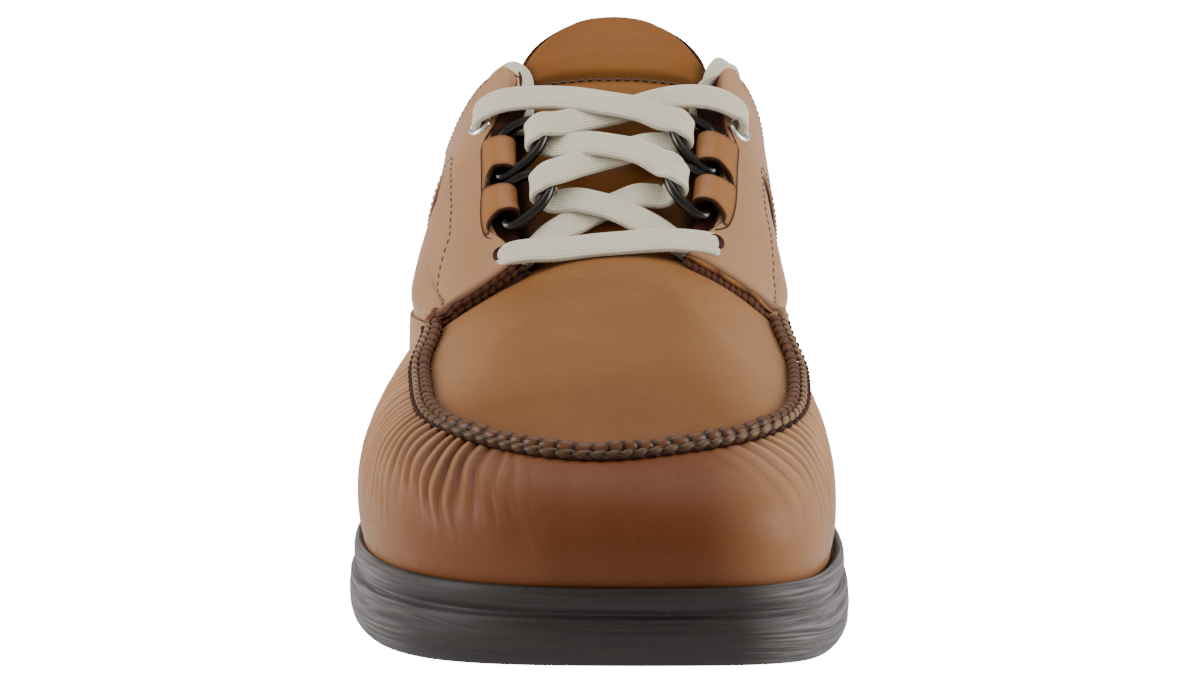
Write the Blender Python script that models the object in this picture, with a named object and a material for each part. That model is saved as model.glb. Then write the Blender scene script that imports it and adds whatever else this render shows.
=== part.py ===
"""A right shoe: a moc-toe low shoe of tan leather on a one-piece rubber sole, laced with a flat
lace through two rings on each side. Sizes are in millimetres along three directions: across (the
medial side is positive), along (0 at the toe tip, growing towards the heel) and up. place() turns
them into metres, with the toe towards -Y and the origin below the middle of the shoe."""

from collections import namedtuple

import bmesh
import bpy
import numpy as np

MM = 0.001
FINE = 12  # points of a smooth curve between two rows of a table

# Driving sizes
LENGTH = 300.0
FIT_GAP = 0.3  # between pieces that touch
LEDGE, MEDIAL_LEDGE = 3.2, 1.4  # how far the sole stands out past the upper, and more inside
WALL = 1.8  # leather and lining of the upper
STEP = 0.9  # how far the side wall stands proud of the panel above it
QUARTER_UNDER, QUARTER_OVER = 0.45, 2.2  # both faces of the quarters, above the upper
SPRING_LENGTH, SPRING_HEIGHT = 64.0, 7.5
ARCH_FRONT, ARCH_BACK, ARCH_HEIGHT = 132.0, 206.0, 2.6
RING_WIRE = 2.5
LACE_WIDTH, LACE_THICK = 7.2, 1.7

# Stations round each half of the shoe, as shares of a curve's length
FRONT_STEPS = [i / 14 for i in range(15)]
REAR_STEPS = [0, 0.04, 0.08, 0.12, 0.155, 0.19, 0.22, 0.25, 0.28, 0.315, 0.355, 0.40]
REAR_STEPS += [0.46, 0.54, 0.63, 0.72, 0.79, 0.85, 0.90, 0.95, 1]
WALL_LEVELS = 6
QUARTER_LEVELS = 5
APRON_LEAN = 2.8  # how much higher the medial half of the apron's end stands
OPEN_SHARE = 0.44  # share of the apron's last line that lies between the quarters

Outline = namedtuple("Outline", "along lateral medial up lift", defaults=(0, 0))
Profile = namedtuple("Profile", "along up")

# The edge of the sole seen from above. Its sixth row is level with the end of the apron.
SOLE_EDGE = [
    Outline(0, -9, 9),
    Outline(4, 20, 32),
    Outline(12, 34, 42),
    Outline(29, 47.4, 49.4),
    Outline(53, 56, 53),
    Outline(79, 58.4, 53),
    Outline(118, 53.6, 46.4),
    Outline(145, 48.2, 40.8),
    Outline(170, 44.6, 38),
    Outline(200, 41.5, 36.8),
    Outline(240, 39, 37.8),
    Outline(266, 36, 35.4),
    Outline(284, 28.4, 28),
    Outline(295, 16.4, 16.4),
    Outline(LENGTH, 0, 0),
]
SOLE_SPLIT = 6
# The raised seam round the apron, then the line on which the side panel meets the wall below it.
SEAM_LINE = [
    Outline(22, 3.3, -3.3, 48),
    Outline(26.5, 16.5, 12.5, 48.2),
    Outline(35.5, 27.4, 27, 48.6),
    Outline(47, 36, 36.6, 49.2),
    Outline(59, 39.8, 40.6, 49.8),
    Outline(75, 41.4, 41.8, 51),
    Outline(97, 41.8, 41.4, 53),
    Outline(118, 40.2, 38.8, 55.8, 1.2),
    Outline(135, 44.6, 41.2, 54.6, 0.6),
    Outline(153, 46.2, 41.6, 52.6),
    Outline(176, 44.4, 40.2, 50),
    Outline(202, 42.4, 39.0, 48),
    Outline(232, 40.6, 38.2, 46),
    Outline(262, 36.4, 35.4, 45),
    Outline(282, 27.6, 27.2, 44.6),
    Outline(293, 15.8, 15.8, 44.5),
    Outline(297.6, 0, 0, 44.5),
]
SEAM_SPLIT = 7
# The free edge above: up the edge of the quarter past its rings, over its corner, round the collar.
TOP_LINE = [
    Outline(119, 18.4, 17.4, 69.4, 2.6),
    Outline(125, 21.5, 20.5, 71.6, 2.6),
    Outline(132, 25.8, 24.6, 75.4, 2.4),
    Outline(139, 27.5, 26, 79.8, 2),
    Outline(149, 27.8, 26.3, 86.8, 1),
    Outline(159, 27.4, 26.8, 94.4, 0.4),
    Outline(167, 24, 26.2, 101.4),
    Outline(173.5, 23.4, 27, 106),
    Outline(181, 27.6, 30.4, 103.6),
    Outline(189, 32.8, 34, 95.6),
    Outline(199, 36, 35.6, 87.6),
    Outline(213, 37.6, 35.8, 81.8),
    Outline(233, 36.6, 34.8, 79),
    Outline(256, 33, 31.8, 79.8),
    Outline(275, 26.4, 25.8, 83),
    Outline(286.5, 16.6, 16.4, 87.4),
    Outline(292, 0, 0, 90),
]
SOLE_TOP = [
    Profile(0, 24.3),
    Profile(20, 22.2),
    Profile(40, 20.3),
    Profile(64, 18.9),
    Profile(92, 18.5),
    Profile(122, 20),
    Profile(152, 22.8),
    Profile(182, 25.9),
    Profile(212, 28.7),
    Profile(242, 30.6),
    Profile(272, 31.6),
    Profile(LENGTH, 32),
]
APRON_CREST = [
    Profile(22, 48),
    Profile(26.5, 50),
    Profile(35.5, 53.2),
    Profile(48, 57),
    Profile(67, 62),
    Profile(90, 67),
    Profile(106, 70),
    Profile(122, 72.8),
]
# The lower edge of the quarter: it climbs from the seam's end, arches over a panel and comes down.
PANEL_ARCH = [
    Profile(113, 56.5),
    Profile(121, 59.3),
    Profile(133, 63.8),
    Profile(148, 72),
    Profile(158, 78.6),
    Profile(166, 82.6),
    Profile(171, 80.5),
    Profile(179, 71.5),
    Profile(190, 62.5),
    Profile(204, 54.5),
    Profile(222, 48),
    Profile(240, 45),
]


def clear_scene():
    for item in list(bpy.data.objects):
        bpy.data.objects.remove(item, do_unlink=True)


def smooth_curve(points, closed=False):
    """Points on a cubic spline through these ones, FINE of them between two, by chord length."""
    knots = np.array(points, float)
    if closed:
        knots = np.vstack([knots, knots[:1]])
    chord = np.linalg.norm(np.diff(knots, axis=0), axis=1)
    count = len(knots) - closed
    system = np.zeros((count, count))
    wanted = np.zeros((count, knots.shape[1]))
    for i in range(count):
        if not closed and i in (0, count - 1):
            system[i, i] = 1
            continue
        before, after = chord[i - 1], chord[i]
        system[i, i - 1] += before
        system[i, i] += 2 * (before + after)
        system[i, (i + 1) % count] += after
        previous = knots[i - 1] if i or not closed else knots[count - 1]
        wanted[i] = 6 * ((knots[i + 1] - knots[i]) / after - (knots[i] - previous) / before)
    bend = np.linalg.solve(system, wanted)
    curve = []
    for i in range(len(knots) - 1):
        span, j = chord[i], (i + 1) % count
        for step in range(FINE):
            run = step / FINE * span
            rest = span - run
            curve.append(
                (bend[i] * rest**3 + bend[j] * run**3) / (6 * span)
                + (knots[i] / span - bend[i] * span / 6) * rest
                + (knots[i + 1] / span - bend[j] * span / 6) * run
            )
    return np.array(curve + [knots[-1]])


def height_at(profile, along):
    curve = smooth_curve([(row.along, row.up) for row in profile])
    return np.interp(along, curve[:, 0], curve[:, 1])


def at_share(curve, share):
    """The point this share of the way along a curve."""
    run = np.concatenate([[0], np.cumsum(np.linalg.norm(np.diff(curve, axis=0), axis=1))])
    return np.array([np.interp(share * run[-1], run, curve[:, i]) for i in range(curve.shape[1])])


def halves(rows):
    """The lateral and the medial half of a closed outline, each from the toe to the heel."""
    lateral = [(-row.lateral, row.along, row.up) for row in rows]
    medial = [(row.medial, row.along, row.up + row.lift) for row in rows[1:-1]]
    loop = smooth_curve(lateral + medial[::-1], closed=True)
    middle = (len(rows) - 1) * FINE
    return loop[: middle + 1], loop[middle:][::-1]


def outward_normals(curve, sign):
    run = np.gradient(curve[:, :2], axis=0)
    run /= np.linalg.norm(run, axis=1)[:, None]
    return sign * np.column_stack([run[:, 1], -run[:, 0]])


def stations(rows, split):
    """For each side, the points of a line at every station, the front ones before the rear ones."""
    found = []
    for curve in halves(rows):
        front, rear = curve[: split * FINE + 1], curve[split * FINE :]
        points = [at_share(front, share) for share in FRONT_STEPS]
        points += [at_share(rear, share) for share in REAR_STEPS[1:]]
        found.append(np.array(points))
    return found


EDGE = stations(SOLE_EDGE, SOLE_SPLIT)
SEAM = stations(SEAM_LINE, SEAM_SPLIT)
JOIN = len(FRONT_STEPS) - 1  # the station at the end of the apron
HEEL = len(EDGE[0]) - 1
SIDES = (("lateral", 0, -1), ("medial", 1, 1))


def station_normals():
    """Level directions that point out of the shoe at each station, square to the sole's edge."""
    found = []
    for curve, points, sign in zip(halves(SOLE_EDGE), EDGE, (-1, 1)):
        normals = outward_normals(curve, sign)
        nearest = [np.argmin(np.linalg.norm(curve - point, axis=1)) for point in points]
        found.append(normals[nearest])
    for end in (0, HEEL):
        middle = found[0][end] + found[1][end]
        found[0][end] = found[1][end] = middle / np.linalg.norm(middle)
    return found


NORMAL = station_normals()


def top_line_halves():
    lateral = [(-row.lateral, row.along, row.up) for row in TOP_LINE]
    medial = [(row.medial, row.along, row.up + row.lift) for row in TOP_LINE[:-1]]
    curve = smooth_curve(lateral + medial[::-1])
    middle = (len(TOP_LINE) - 1) * FINE
    return curve[: middle + 1], curve[middle:][::-1]


TOP_FINE = top_line_halves()
TOP = [np.array([at_share(half, share) for share in REAR_STEPS]) for half in TOP_FINE]


def place(point):
    across_middle = (EDGE_FINE[:, 0].min() + EDGE_FINE[:, 0].max()) / 2
    across, along, up = point
    return ((across - across_middle) * MM, (along - LENGTH / 2) * MM, up * MM)


EDGE_FINE = np.vstack(halves(SOLE_EDGE))


def edge_inset(side, station, inset, up):
    """A point of the sole's edge moved in level by this much, at this height."""
    across, along = EDGE[side][station][:2] - NORMAL[side][station] * inset
    return np.array([across, along, up])


def upper_inset(side, station):
    """How far in from the sole's edge the upper's foot stands."""
    return LEDGE + side * MEDIAL_LEDGE * np.sin(np.pi * station / HEEL)


def bezier(points, share):
    a, b, c, d = points
    rest = 1 - share
    return a * rest**3 + 3 * b * rest**2 * share + 3 * c * rest * share**2 + d * share**3


def level(vector, length, up):
    return np.array([vector[0] * length, vector[1] * length, up])


def wall_point(side, station, share, stand_out=0.0):
    """The upper's side from the sole (share 0) to the seam line (share 1)."""
    out = NORMAL[side][station]
    foot = edge_inset(side, station, upper_inset(side, station), 0)
    foot[2] = height_at(SOLE_TOP, foot[1]) + FIT_GAP
    head = SEAM[side][station] + level(out, stand_out, 0)
    rise = head[2] - foot[2]
    inset = max(np.dot(foot[:2] - head[:2], out), 0)
    rear = np.clip((station - JOIN) / 3, 0, 1)
    belly = foot + level(out, 3.4 - 0.4 * side - 0.8 * rear, 0.35 * rise)
    roll = head + level(out, (1 - 0.18 * rear) * inset + 0.6 * rear, -(0.14 + 0.2 * rear) * rise)
    return bezier((foot, belly, roll, head), share)


def apron_point(row, share):
    """The apron: row is a front station, share runs from -1 at the lateral seam to 1."""
    lateral, medial = SEAM[0][row], SEAM[1][row]
    point = lateral * (1 - share) / 2 + medial * (1 + share) / 2
    dome = 1 - share**2
    point[1] += 4.5 * (row / JOIN) ** 2 * dome
    crest = height_at(APRON_CREST, point[1]) - (lateral[2] + medial[2]) / 2
    point[2] += (crest + APRON_LEAN * row / JOIN * share) * dome
    return point


def quarter_point(side, station, share):
    """The upper's side from the seam line (share 0) to its free edge (share 1)."""
    if station == JOIN:
        across = 1 - share * (1 - OPEN_SHARE)
        return apron_point(JOIN, across * (1 if side else -1))
    out = NORMAL[side][station]
    head = TOP[side][station - JOIN]
    foot = SEAM[side][station]
    rise = head[2] - foot[2]
    inset = np.dot(foot[:2] - head[:2], out)
    collar = np.clip((station - JOIN - 8) / 3, 0, 1)
    start = np.clip((station - JOIN) / 3, 0, 1)
    low = foot + level(out, -2.5 * (1 - start) + 0.6 * collar, (0.28 + 0.12 * start) * rise)
    high = head + level(out, 0.45 * inset + 0.8 * collar, -(0.1 + 0.25 * collar) * rise)
    return bezier((foot, low, high, head), share)


def surface_normal(side, station, share):
    """The outward normal of the quarter's surface."""
    back, front = max(station - 1, JOIN), min(station + 1, HEEL)
    low, high = max(share - 0.04, 0), min(share + 0.04, 1)
    run = quarter_point(side, front, share) - quarter_point(side, back, share)
    if station == HEEL:
        run = quarter_point(1, HEEL - 1, share) - quarter_point(0, HEEL - 1, share)
        run = run if side == 0 else -run
    rise = quarter_point(side, station, high) - quarter_point(side, station, low)
    normal = np.cross(rise, run) if side == 0 else np.cross(run, rise)
    return normal / np.linalg.norm(normal)


class Shell:
    """Named points and faces of one sheet."""

    def __init__(self):
        self.points, self.index, self.faces = [], {}, []

    def add(self, key, point):
        if key not in self.index:
            self.index[key] = len(self.points)
            self.points.append(np.array(point, float))
        return self.index[key]

    def face(self, *keys):
        corners = []
        for key in keys:
            number = self.index[key]
            if number not in corners:
                corners.append(number)
        if len(corners) > 2:
            self.faces.append(corners)

    def normals(self):
        found = np.zeros((len(self.points), 3))
        points = np.array(self.points)
        for face in self.faces:
            corners = points[face]
            middle = corners.mean(axis=0)
            area = np.zeros(3)
            for a, b in zip(corners, np.roll(corners, -1, axis=0)):
                area += np.cross(a - middle, b - middle)
            found[face] += area
        return found / np.linalg.norm(found, axis=1)[:, None]


def upper_sheet(step):
    """The upper as one sheet. With step, its wall stands proud of the apron and the panels."""
    sheet = Shell()
    seam_level = WALL_LEVELS + 1
    top_level = seam_level + QUARTER_LEVELS

    def key(side, station, rung):
        shared = station == HEEL or (station == 0 and rung <= seam_level)
        return ("side", 0 if shared else side, station, rung)

    def apron_key(row, column):
        if row == 0 or column == 0:
            return key(0, row, seam_level)
        if column == 3 * QUARTER_LEVELS:
            return key(1, row, seam_level)
        if row == JOIN and column <= QUARTER_LEVELS:
            return key(0, row, seam_level + column)
        if row == JOIN and column >= 2 * QUARTER_LEVELS:
            return key(1, row, seam_level + 3 * QUARTER_LEVELS - column)
        return ("apron", row, column)

    for _, side, _ in SIDES:
        for station in range(HEEL + 1):
            for rung in range(WALL_LEVELS + 1):
                share = rung / WALL_LEVELS if step else rung / WALL_LEVELS * 0.95
                point = wall_point(side, station, share, STEP if step else 0)
                sheet.add(key(side, station, rung), point)
            sheet.add(key(side, station, seam_level), SEAM[side][station])
            for rung in range(1, QUARTER_LEVELS + 1):
                if station >= JOIN:
                    point = quarter_point(side, station, rung / QUARTER_LEVELS)
                    sheet.add(key(side, station, seam_level + rung), point)
    shares = np.concatenate([
        np.linspace(-1, -OPEN_SHARE, QUARTER_LEVELS + 1),
        np.linspace(-OPEN_SHARE, OPEN_SHARE, QUARTER_LEVELS + 1)[1:],
        np.linspace(OPEN_SHARE, 1, QUARTER_LEVELS + 1)[1:],
    ])
    for row in range(1, JOIN + 1):
        for column, share in enumerate(shares):
            sheet.add(apron_key(row, column), apron_point(row, share))

    for _, side, sign in SIDES:
        for station in range(HEEL):
            last = top_level if station >= JOIN else seam_level
            for rung in range(last):
                corners = [
                    key(side, station, rung),
                    key(side, station, rung + 1),
                    key(side, station + 1, rung + 1),
                    key(side, station + 1, rung),
                ]
                sheet.face(*(corners if sign < 0 else corners[::-1]))
    for row in range(JOIN):
        for column in range(3 * QUARTER_LEVELS):
            sheet.face(
                apron_key(row, column),
                apron_key(row, column + 1),
                apron_key(row + 1, column + 1),
                apron_key(row + 1, column),
            )
    return sheet


def border(faces):
    """The edges that only one face has, each in that face's direction."""
    edges = {}
    for face in faces:
        for a, b in zip(face, face[1:] + face[:1]):
            edges[(a, b)] = True
    return [(a, b) for a, b in edges if (b, a) not in edges]


def finish_object(name, mesh_builder, finish):
    mesh = bpy.data.meshes.new(name)
    bm = bmesh.new()
    mesh_builder(bm)
    bmesh.ops.remove_doubles(bm, verts=bm.verts, dist=1e-6)
    bmesh.ops.recalc_face_normals(bm, faces=bm.faces)
    bmesh.ops.triangulate(bm, faces=bm.faces)
    bm.to_mesh(mesh)
    bm.free()
    mesh.materials.append(finish)
    mesh.shade_smooth()
    mesh.set_sharp_from_angle(angle=0.7)
    item = bpy.data.objects.new(name, mesh)
    bpy.context.scene.collection.objects.link(item)
    return item


def material(name, colour, roughness, metallic=0.0):
    made = bpy.data.materials.new(name)
    made.use_nodes = True
    shader = made.node_tree.nodes["Principled BSDF"]
    shader.inputs["Base Color"].default_value = (*colour, 1)
    shader.inputs["Roughness"].default_value = roughness
    shader.inputs["Metallic"].default_value = metallic
    return made


def make_upper(finish):
    outer, inner = upper_sheet(True), upper_sheet(False)
    normals = inner.normals()
    count = len(outer.points)
    lowest = [outer.index[k] for k in outer.index if k[0] == "side" and k[3] == 0]

    def build(bm):
        points = [place(point) for point in outer.points]
        for number, (point, normal) in enumerate(zip(inner.points, normals)):
            moved = point - normal * WALL
            if number in lowest:
                moved[2] = outer.points[number][2]
            points.append(place(moved))
        verts = [bm.verts.new(point) for point in points]
        for face in outer.faces:
            bm.faces.new([verts[i] for i in face])
            bm.faces.new([verts[i + count] for i in reversed(face)])
        for a, b in border(outer.faces):
            bm.faces.new([verts[b], verts[a], verts[a + count], verts[b + count]])

    return finish_object("upper", build, finish)


def bottom_height(along):
    spring = np.clip((SPRING_LENGTH - along) / SPRING_LENGTH, 0, 1) ** 1.9 * SPRING_HEIGHT
    share = np.clip((along - ARCH_FRONT) / (ARCH_BACK - ARCH_FRONT), 0, 1)
    return spring + ARCH_HEIGHT * np.sin(np.pi * share) ** 2


# The sole's side from its top down: how far in from the widest line, and how far below the top.
# Rows with a negative drop are measured up from the tread.
SoleRow = namedtuple("SoleRow", "inset drop")
SOLE_SIDE = [
    SoleRow(3.0, 0),
    SoleRow(1.7, 0.7),
    SoleRow(1.1, 2.2),
    SoleRow(1.15, 4.4),
    SoleRow(2.0, 5.6),
    SoleRow(0.9, 6.8),
    SoleRow(0.2, 8.6),
    SoleRow(0, -7),
    SoleRow(0.1, -4.6),
    SoleRow(0.6, -2.4),
    SoleRow(1.7, -0.8),
    SoleRow(3.4, 0),
]


def rim_loop():
    """Every station once round the shoe: down the lateral side and back up the medial one."""
    loop = [(0, station) for station in range(HEEL + 1)]
    return loop + [(1, station) for station in range(HEEL - 1, 0, -1)]


def stacked_rings(bm, rings):
    """Joins rings of points over rim_loop() and closes both ends with strips across the shoe."""
    loop = rim_loop()
    made = [[bm.verts.new(place(point)) for point in ring] for ring in rings]
    for above, below in zip(made, made[1:]):
        for i in range(len(loop)):
            j = (i + 1) % len(loop)
            bm.faces.new([above[i], above[j], below[j], below[i]])
    for ring in (made[0], made[-1]):
        for station in range(HEEL):
            across = [ring[station], ring[station + 1]]
            other = [ring[-station - 1], ring[-station]] if station else [ring[-1]]
            corners = across + [vert for vert in other if vert not in across]
            bm.faces.new(corners)


def make_sole(finish):
    rings = []
    for number, row in enumerate(SOLE_SIDE):
        ring = []
        from_tread = row.drop < 0 or number == len(SOLE_SIDE) - 1
        for side, station in rim_loop():
            point = edge_inset(side, station, row.inset, 0)
            top, tread = height_at(SOLE_TOP, point[1]), bottom_height(point[1])
            point[2] = tread - row.drop if from_tread else top - row.drop
            ring.append(point)
        rings.append(ring)
    return finish_object("sole", lambda bm: stacked_rings(bm, rings), finish)


# The tread's cross channels: where each starts, how wide, how deep, and how far it stays inside.
CHANNELS = [42 + 11.5 * i for i in range(8)] + [216 + 12 * i for i in range(6)]
CHANNEL_WIDE, CHANNEL_DEEP, CHANNEL_RIM, CHANNEL_BOW = 3.2, 2.2, 9.0, 5.0


def make_channel_cutter():
    """Bent bars that cut the channels between the tread's lugs."""
    edges = halves(SOLE_EDGE)

    def build(bm):
        for start in CHANNELS:
            ends = [np.interp(start, edge[:, 1], edge[:, 0]) for edge in edges]
            rings = []
            for share in (-1, 0, 1):
                across = (ends[0] + CHANNEL_RIM) * (1 - share) / 2
                across += (ends[1] - CHANNEL_RIM) * (1 + share) / 2
                along = start - CHANNEL_BOW * (1 - share**2)
                top = bottom_height(along + CHANNEL_WIDE) + CHANNEL_DEEP
                front, back = (across, along), (across, along + CHANNEL_WIDE)
                rings.append([(*front, -3), (*front, top), (*back, top), (*back, -3)])
            made = tube_of_rings(bm, rings)
            for ring in (made[0], made[-1]):
                bm.faces.new(ring)

    cutter = finish_object("tread_channels", build, bpy.data.materials["sole_rubber"])
    cutter.hide_render = True
    cutter.display_type = "WIRE"
    return cutter


def make_insole(finish):
    rows = ((0.6, 4.2), (0, 3.4), (0.3, FIT_GAP))
    rings = []
    for inset, rise in rows:
        ring = []
        for side, station in rim_loop():
            point = edge_inset(side, station, upper_inset(side, station) + WALL + 1.2 + inset, 0)
            point[2] = height_at(SOLE_TOP, point[1]) + rise
            ring.append(point)
        rings.append(ring)
    return finish_object("insole", lambda bm: stacked_rings(bm, rings), finish)


# The tongue: crest height, half width and thickness at each distance from the toe.
TongueRow = namedtuple("TongueRow", "along crest half thick")
TONGUE = [
    TongueRow(112, 65.4, 21, 2.2),
    TongueRow(119, 68.2, 23, 2.4),
    TongueRow(127, 72.4, 25, 2.8),
    TongueRow(137, 78.8, 26.5, 3.2),
    TongueRow(149, 87.4, 26.5, 3.6),
    TongueRow(160, 95.8, 26, 4.2),
    TongueRow(169, 103.0, 24.5, 5),
    TongueRow(177, 109.0, 23, 6),
    TongueRow(184, 113.2, 22, 6.4),
    TongueRow(189.5, 116.0, 17.8, 5.6),
    TongueRow(192, 117.2, 12, 4),
]
TONGUE_MIDDLE = 1.2
TONGUE_CROWN = 0.010  # fall of the tongue's face per square millimetre from its middle
TONGUE_COLUMNS = 10


def tongue_rings():
    rows = [(row.along, row.crest, row.half, row.thick) for row in TONGUE]
    curve = smooth_curve(rows)
    slopes = np.gradient(curve[:, 1]) / np.gradient(curve[:, 0])
    rings = []
    for number in range(0, len(curve), FINE):
        along, crest, half, thick = curve[number]
        tilt = np.hypot(1, slopes[number])
        over, under = [], []
        for column in range(TONGUE_COLUMNS + 1):
            share = 2 * column / TONGUE_COLUMNS - 1
            across = share * half
            up = crest - TONGUE_CROWN * across**2
            swell = thick * (1 - 0.75 * share**4)
            over.append((across + TONGUE_MIDDLE, along, up))
            lower = (along + swell * slopes[number] / tilt, up - swell / tilt)
            under.append((across + TONGUE_MIDDLE, *lower))
        rings.append(over + under[::-1])
    return rings


def tube_of_rings(bm, rings):
    made = [[bm.verts.new(place(point)) for point in ring] for ring in rings]
    for before, after in zip(made, made[1:]):
        for i in range(len(before)):
            j = (i + 1) % len(before)
            bm.faces.new([before[i], before[j], after[j], after[i]])
    return made


def make_tongue(finish):
    rings = tongue_rings()

    def build(bm):
        made = tube_of_rings(bm, rings)
        for ring in (made[0], made[-1]):
            half = len(ring) // 2
            for i in range(half - 1):
                bm.faces.new([ring[i], ring[i + 1], ring[-i - 2], ring[-i - 1]])

    return finish_object("tongue", build, finish)


def make_seam(finish):
    """The gathered seam round the apron: a raised bead above the line where two leathers meet."""
    section = ((2.2, 0.2), (2.3, 1.6), (1.1, 3.1), (-0.7, 3.5), (-2.1, 2.9), (-2.3, 2.2), (0, 0.7))
    order = [(0, row) for row in range(JOIN, 0, -1)] + [(1, row) for row in range(JOIN + 1)]
    rings = []
    for side, row in order:
        back = order[max(order.index((side, row)) - 1, 0)]
        ahead = order[min(order.index((side, row)) + 1, len(order) - 1)]
        run = SEAM[ahead[0]][ahead[1]] - SEAM[back[0]][back[1]]
        out = np.array([run[1], -run[0]]) / np.hypot(run[0], run[1])
        rings.append([SEAM[side][row] - level(out, -across, -up) for across, up in section])

    def build(bm):
        made = tube_of_rings(bm, rings)
        bm.faces.new(made[0])
        bm.faces.new(made[-1])

    return finish_object("moc_seam", build, finish)


def make_quarter(name, side, sign, finish):
    """One quarter: the overlay from the laces to the heel, arched over the side panel."""
    inner, outer = [], []
    arch = smooth_curve([(row.along, row.up) for row in PANEL_ARCH])
    for station in range(JOIN, HEEL + 1):
        shares = np.linspace(0, 1, 41)
        line = np.array([quarter_point(side, station, share) for share in shares])
        low = 0.06
        if JOIN < station:
            above = np.interp(line[:, 1], arch[:, 0], arch[:, 1]) - line[:, 2]
            inside = line[:, 1] < arch[-1, 0]
            low = max(0.03, shares[inside & (above > 0)].max(initial=0))
        under, over = [], []
        for share in np.linspace(low, 1, QUARTER_LEVELS + 1):
            point = quarter_point(side, station, share)
            if station == HEEL:
                point[0] += sign * FIT_GAP / 2
            normal = surface_normal(side, station, share)
            under.append(point + normal * QUARTER_UNDER)
            over.append(point + normal * QUARTER_OVER)
        inner.append(under)
        outer.append(over)
    rings = [over + under[::-1] for over, under in zip(outer, inner)]

    def build(bm):
        made = tube_of_rings(bm, rings)
        for ring in (made[0], made[-1]):
            for i in range(QUARTER_LEVELS):
                bm.faces.new([ring[i], ring[i + 1], ring[-i - 2], ring[-i - 1]])

    return finish_object(name, build, finish)


def edge_frame(side, along):
    """On a quarter's edge at this distance from the toe: a point, and the directions inwards,
    away from the leather and backwards along the edge."""
    shares = np.linspace(0, 0.5, 200)
    curve = np.array([at_share(TOP_FINE[side], share) for share in shares])
    number = int(np.clip(np.argmax(curve[:, 1] > along), 1, len(curve) - 2))
    back = curve[number + 1] - curve[number - 1]
    back /= np.linalg.norm(back)
    stations_along = TOP[side][: HEEL - JOIN, 1]
    station = JOIN + 1 + int(np.argmin(np.abs(stations_along[1:-1] - along)))
    away = surface_normal(side, station, 0.94)
    inwards = np.cross(back, away) * (1 if side == 0 else -1)
    inwards /= np.linalg.norm(inwards)
    away = np.cross(inwards, back) * (1 if side == 0 else -1)
    return curve[number], inwards, away, back


TABS = (("lower", 133.2, 140.9), ("upper", 147.5, 155.2))
LEG_GAP = 2.2  # from the end of a tab to the middle of a ring's leg, along the shoe
BAR_IN, BAR_AWAY = 2.1, 0.5  # the middle of a ring's straight side, from the quarter's edge
TAB_THICK = 1.1
RING_REACH = 13.2
RING_LEAN = (0.87, 0.12, 0.47)  # the direction of a lateral ring, from its straight side to its bow


def make_tab(name, side, start, end, finish):
    """A strip of leather folded round the straight side of a ring."""
    folds = 5
    middle = [(-3.4, QUARTER_OVER + 1.0), (-1.2, QUARTER_OVER + 1.0)]
    radius = QUARTER_OVER + 1.0 - BAR_AWAY
    for step in range(folds + 1):
        turn = np.pi / 2 - step / folds * np.pi
        middle.append((BAR_IN + radius * np.cos(turn), BAR_AWAY + radius * np.sin(turn)))
    path = np.array(middle)
    run = np.gradient(path, axis=0)
    run /= np.linalg.norm(run, axis=1)[:, None]
    square = np.column_stack([-run[:, 1], run[:, 0]]) * TAB_THICK / 2
    section = np.vstack([path + square, (path - square)[::-1]])
    rings = []
    for along in np.linspace(start, end, 4):
        corner, inwards, away, _ = edge_frame(side, along)
        rings.append([corner + inwards * a + away * b for a, b in section])

    def build(bm):
        made = tube_of_rings(bm, rings)
        for ring in (made[0], made[-1]):
            for i in range(len(path) - 1):
                bm.faces.new([ring[i], ring[i + 1], ring[-i - 2], ring[-i - 1]])

    return finish_object(name, build, finish)


def ring_loop(side, start, end):
    """Points round a D-shaped ring whose straight side lies in its tab."""
    front, back = start - LEG_GAP, end + LEG_GAP
    ends = []
    for along in (front, back):
        corner, inwards, away, _ = edge_frame(side, along)
        ends.append(corner + inwards * BAR_IN + away * BAR_AWAY)
    reach = np.array([RING_LEAN[0] * (-1 if side else 1), *RING_LEAN[1:]]) * RING_REACH
    middle, half = (ends[0] + ends[1]) / 2, (ends[1] - ends[0]) / 2
    loop = [middle - half * 0.82, middle + half * 0.82]
    for step in range(9):
        turn = step / 8 * np.pi
        bow = np.sin(turn) ** 0.75
        loop.append(middle + half * np.cos(turn) + reach * (0.12 + 0.88 * bow))
    return loop


HoleRow = namedtuple("HoleRow", "name along from_edge radius")
HOLES = (HoleRow("top", 160, 3.9, 2.2), HoleRow("bottom", 127.2, 6, 2.4))


def hole_frame(side, hole):
    corner, inwards, away, back = edge_frame(side, hole.along)
    return corner - inwards * hole.from_edge - away * 0.4, inwards, away, back


def make_punch():
    """The cutter of the four lace holes, left out of the model."""

    def build(bm):
        for _, side, _ in SIDES:
            for hole in HOLES:
                middle, inwards, away, back = hole_frame(side, hole)
                ends = []
                for height in (-6, 6):
                    ring = []
                    for step in range(12):
                        turn = step / 12 * 2 * np.pi
                        spoke = inwards * np.cos(turn) + back * np.sin(turn)
                        ring.append(middle + spoke * hole.radius + away * height)
                    ends.append(ring)
                made = tube_of_rings(bm, ends)
                for ring in made:
                    bm.faces.new(ring)

    cutter = finish_object("hole_punch", build, bpy.data.materials["tan_leather"])
    cutter.hide_render = True
    cutter.display_type = "WIRE"
    return cutter


def cut(item, cutter):
    change = item.modifiers.new("cut", "BOOLEAN")
    change.operation = "DIFFERENCE"
    change.object = cutter


EYELET_SIDES = 16
# The eyelet's wall, from its flange down its outside and back up its bore: radius, height
EYELET_WALL = ((3.2, 2.95), (3.05, 3.4), (2.4, 3.6), (1.6, 3.1), (1.6, -2.3), (1.95, -2.3), (1.95, 2.95))


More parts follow.
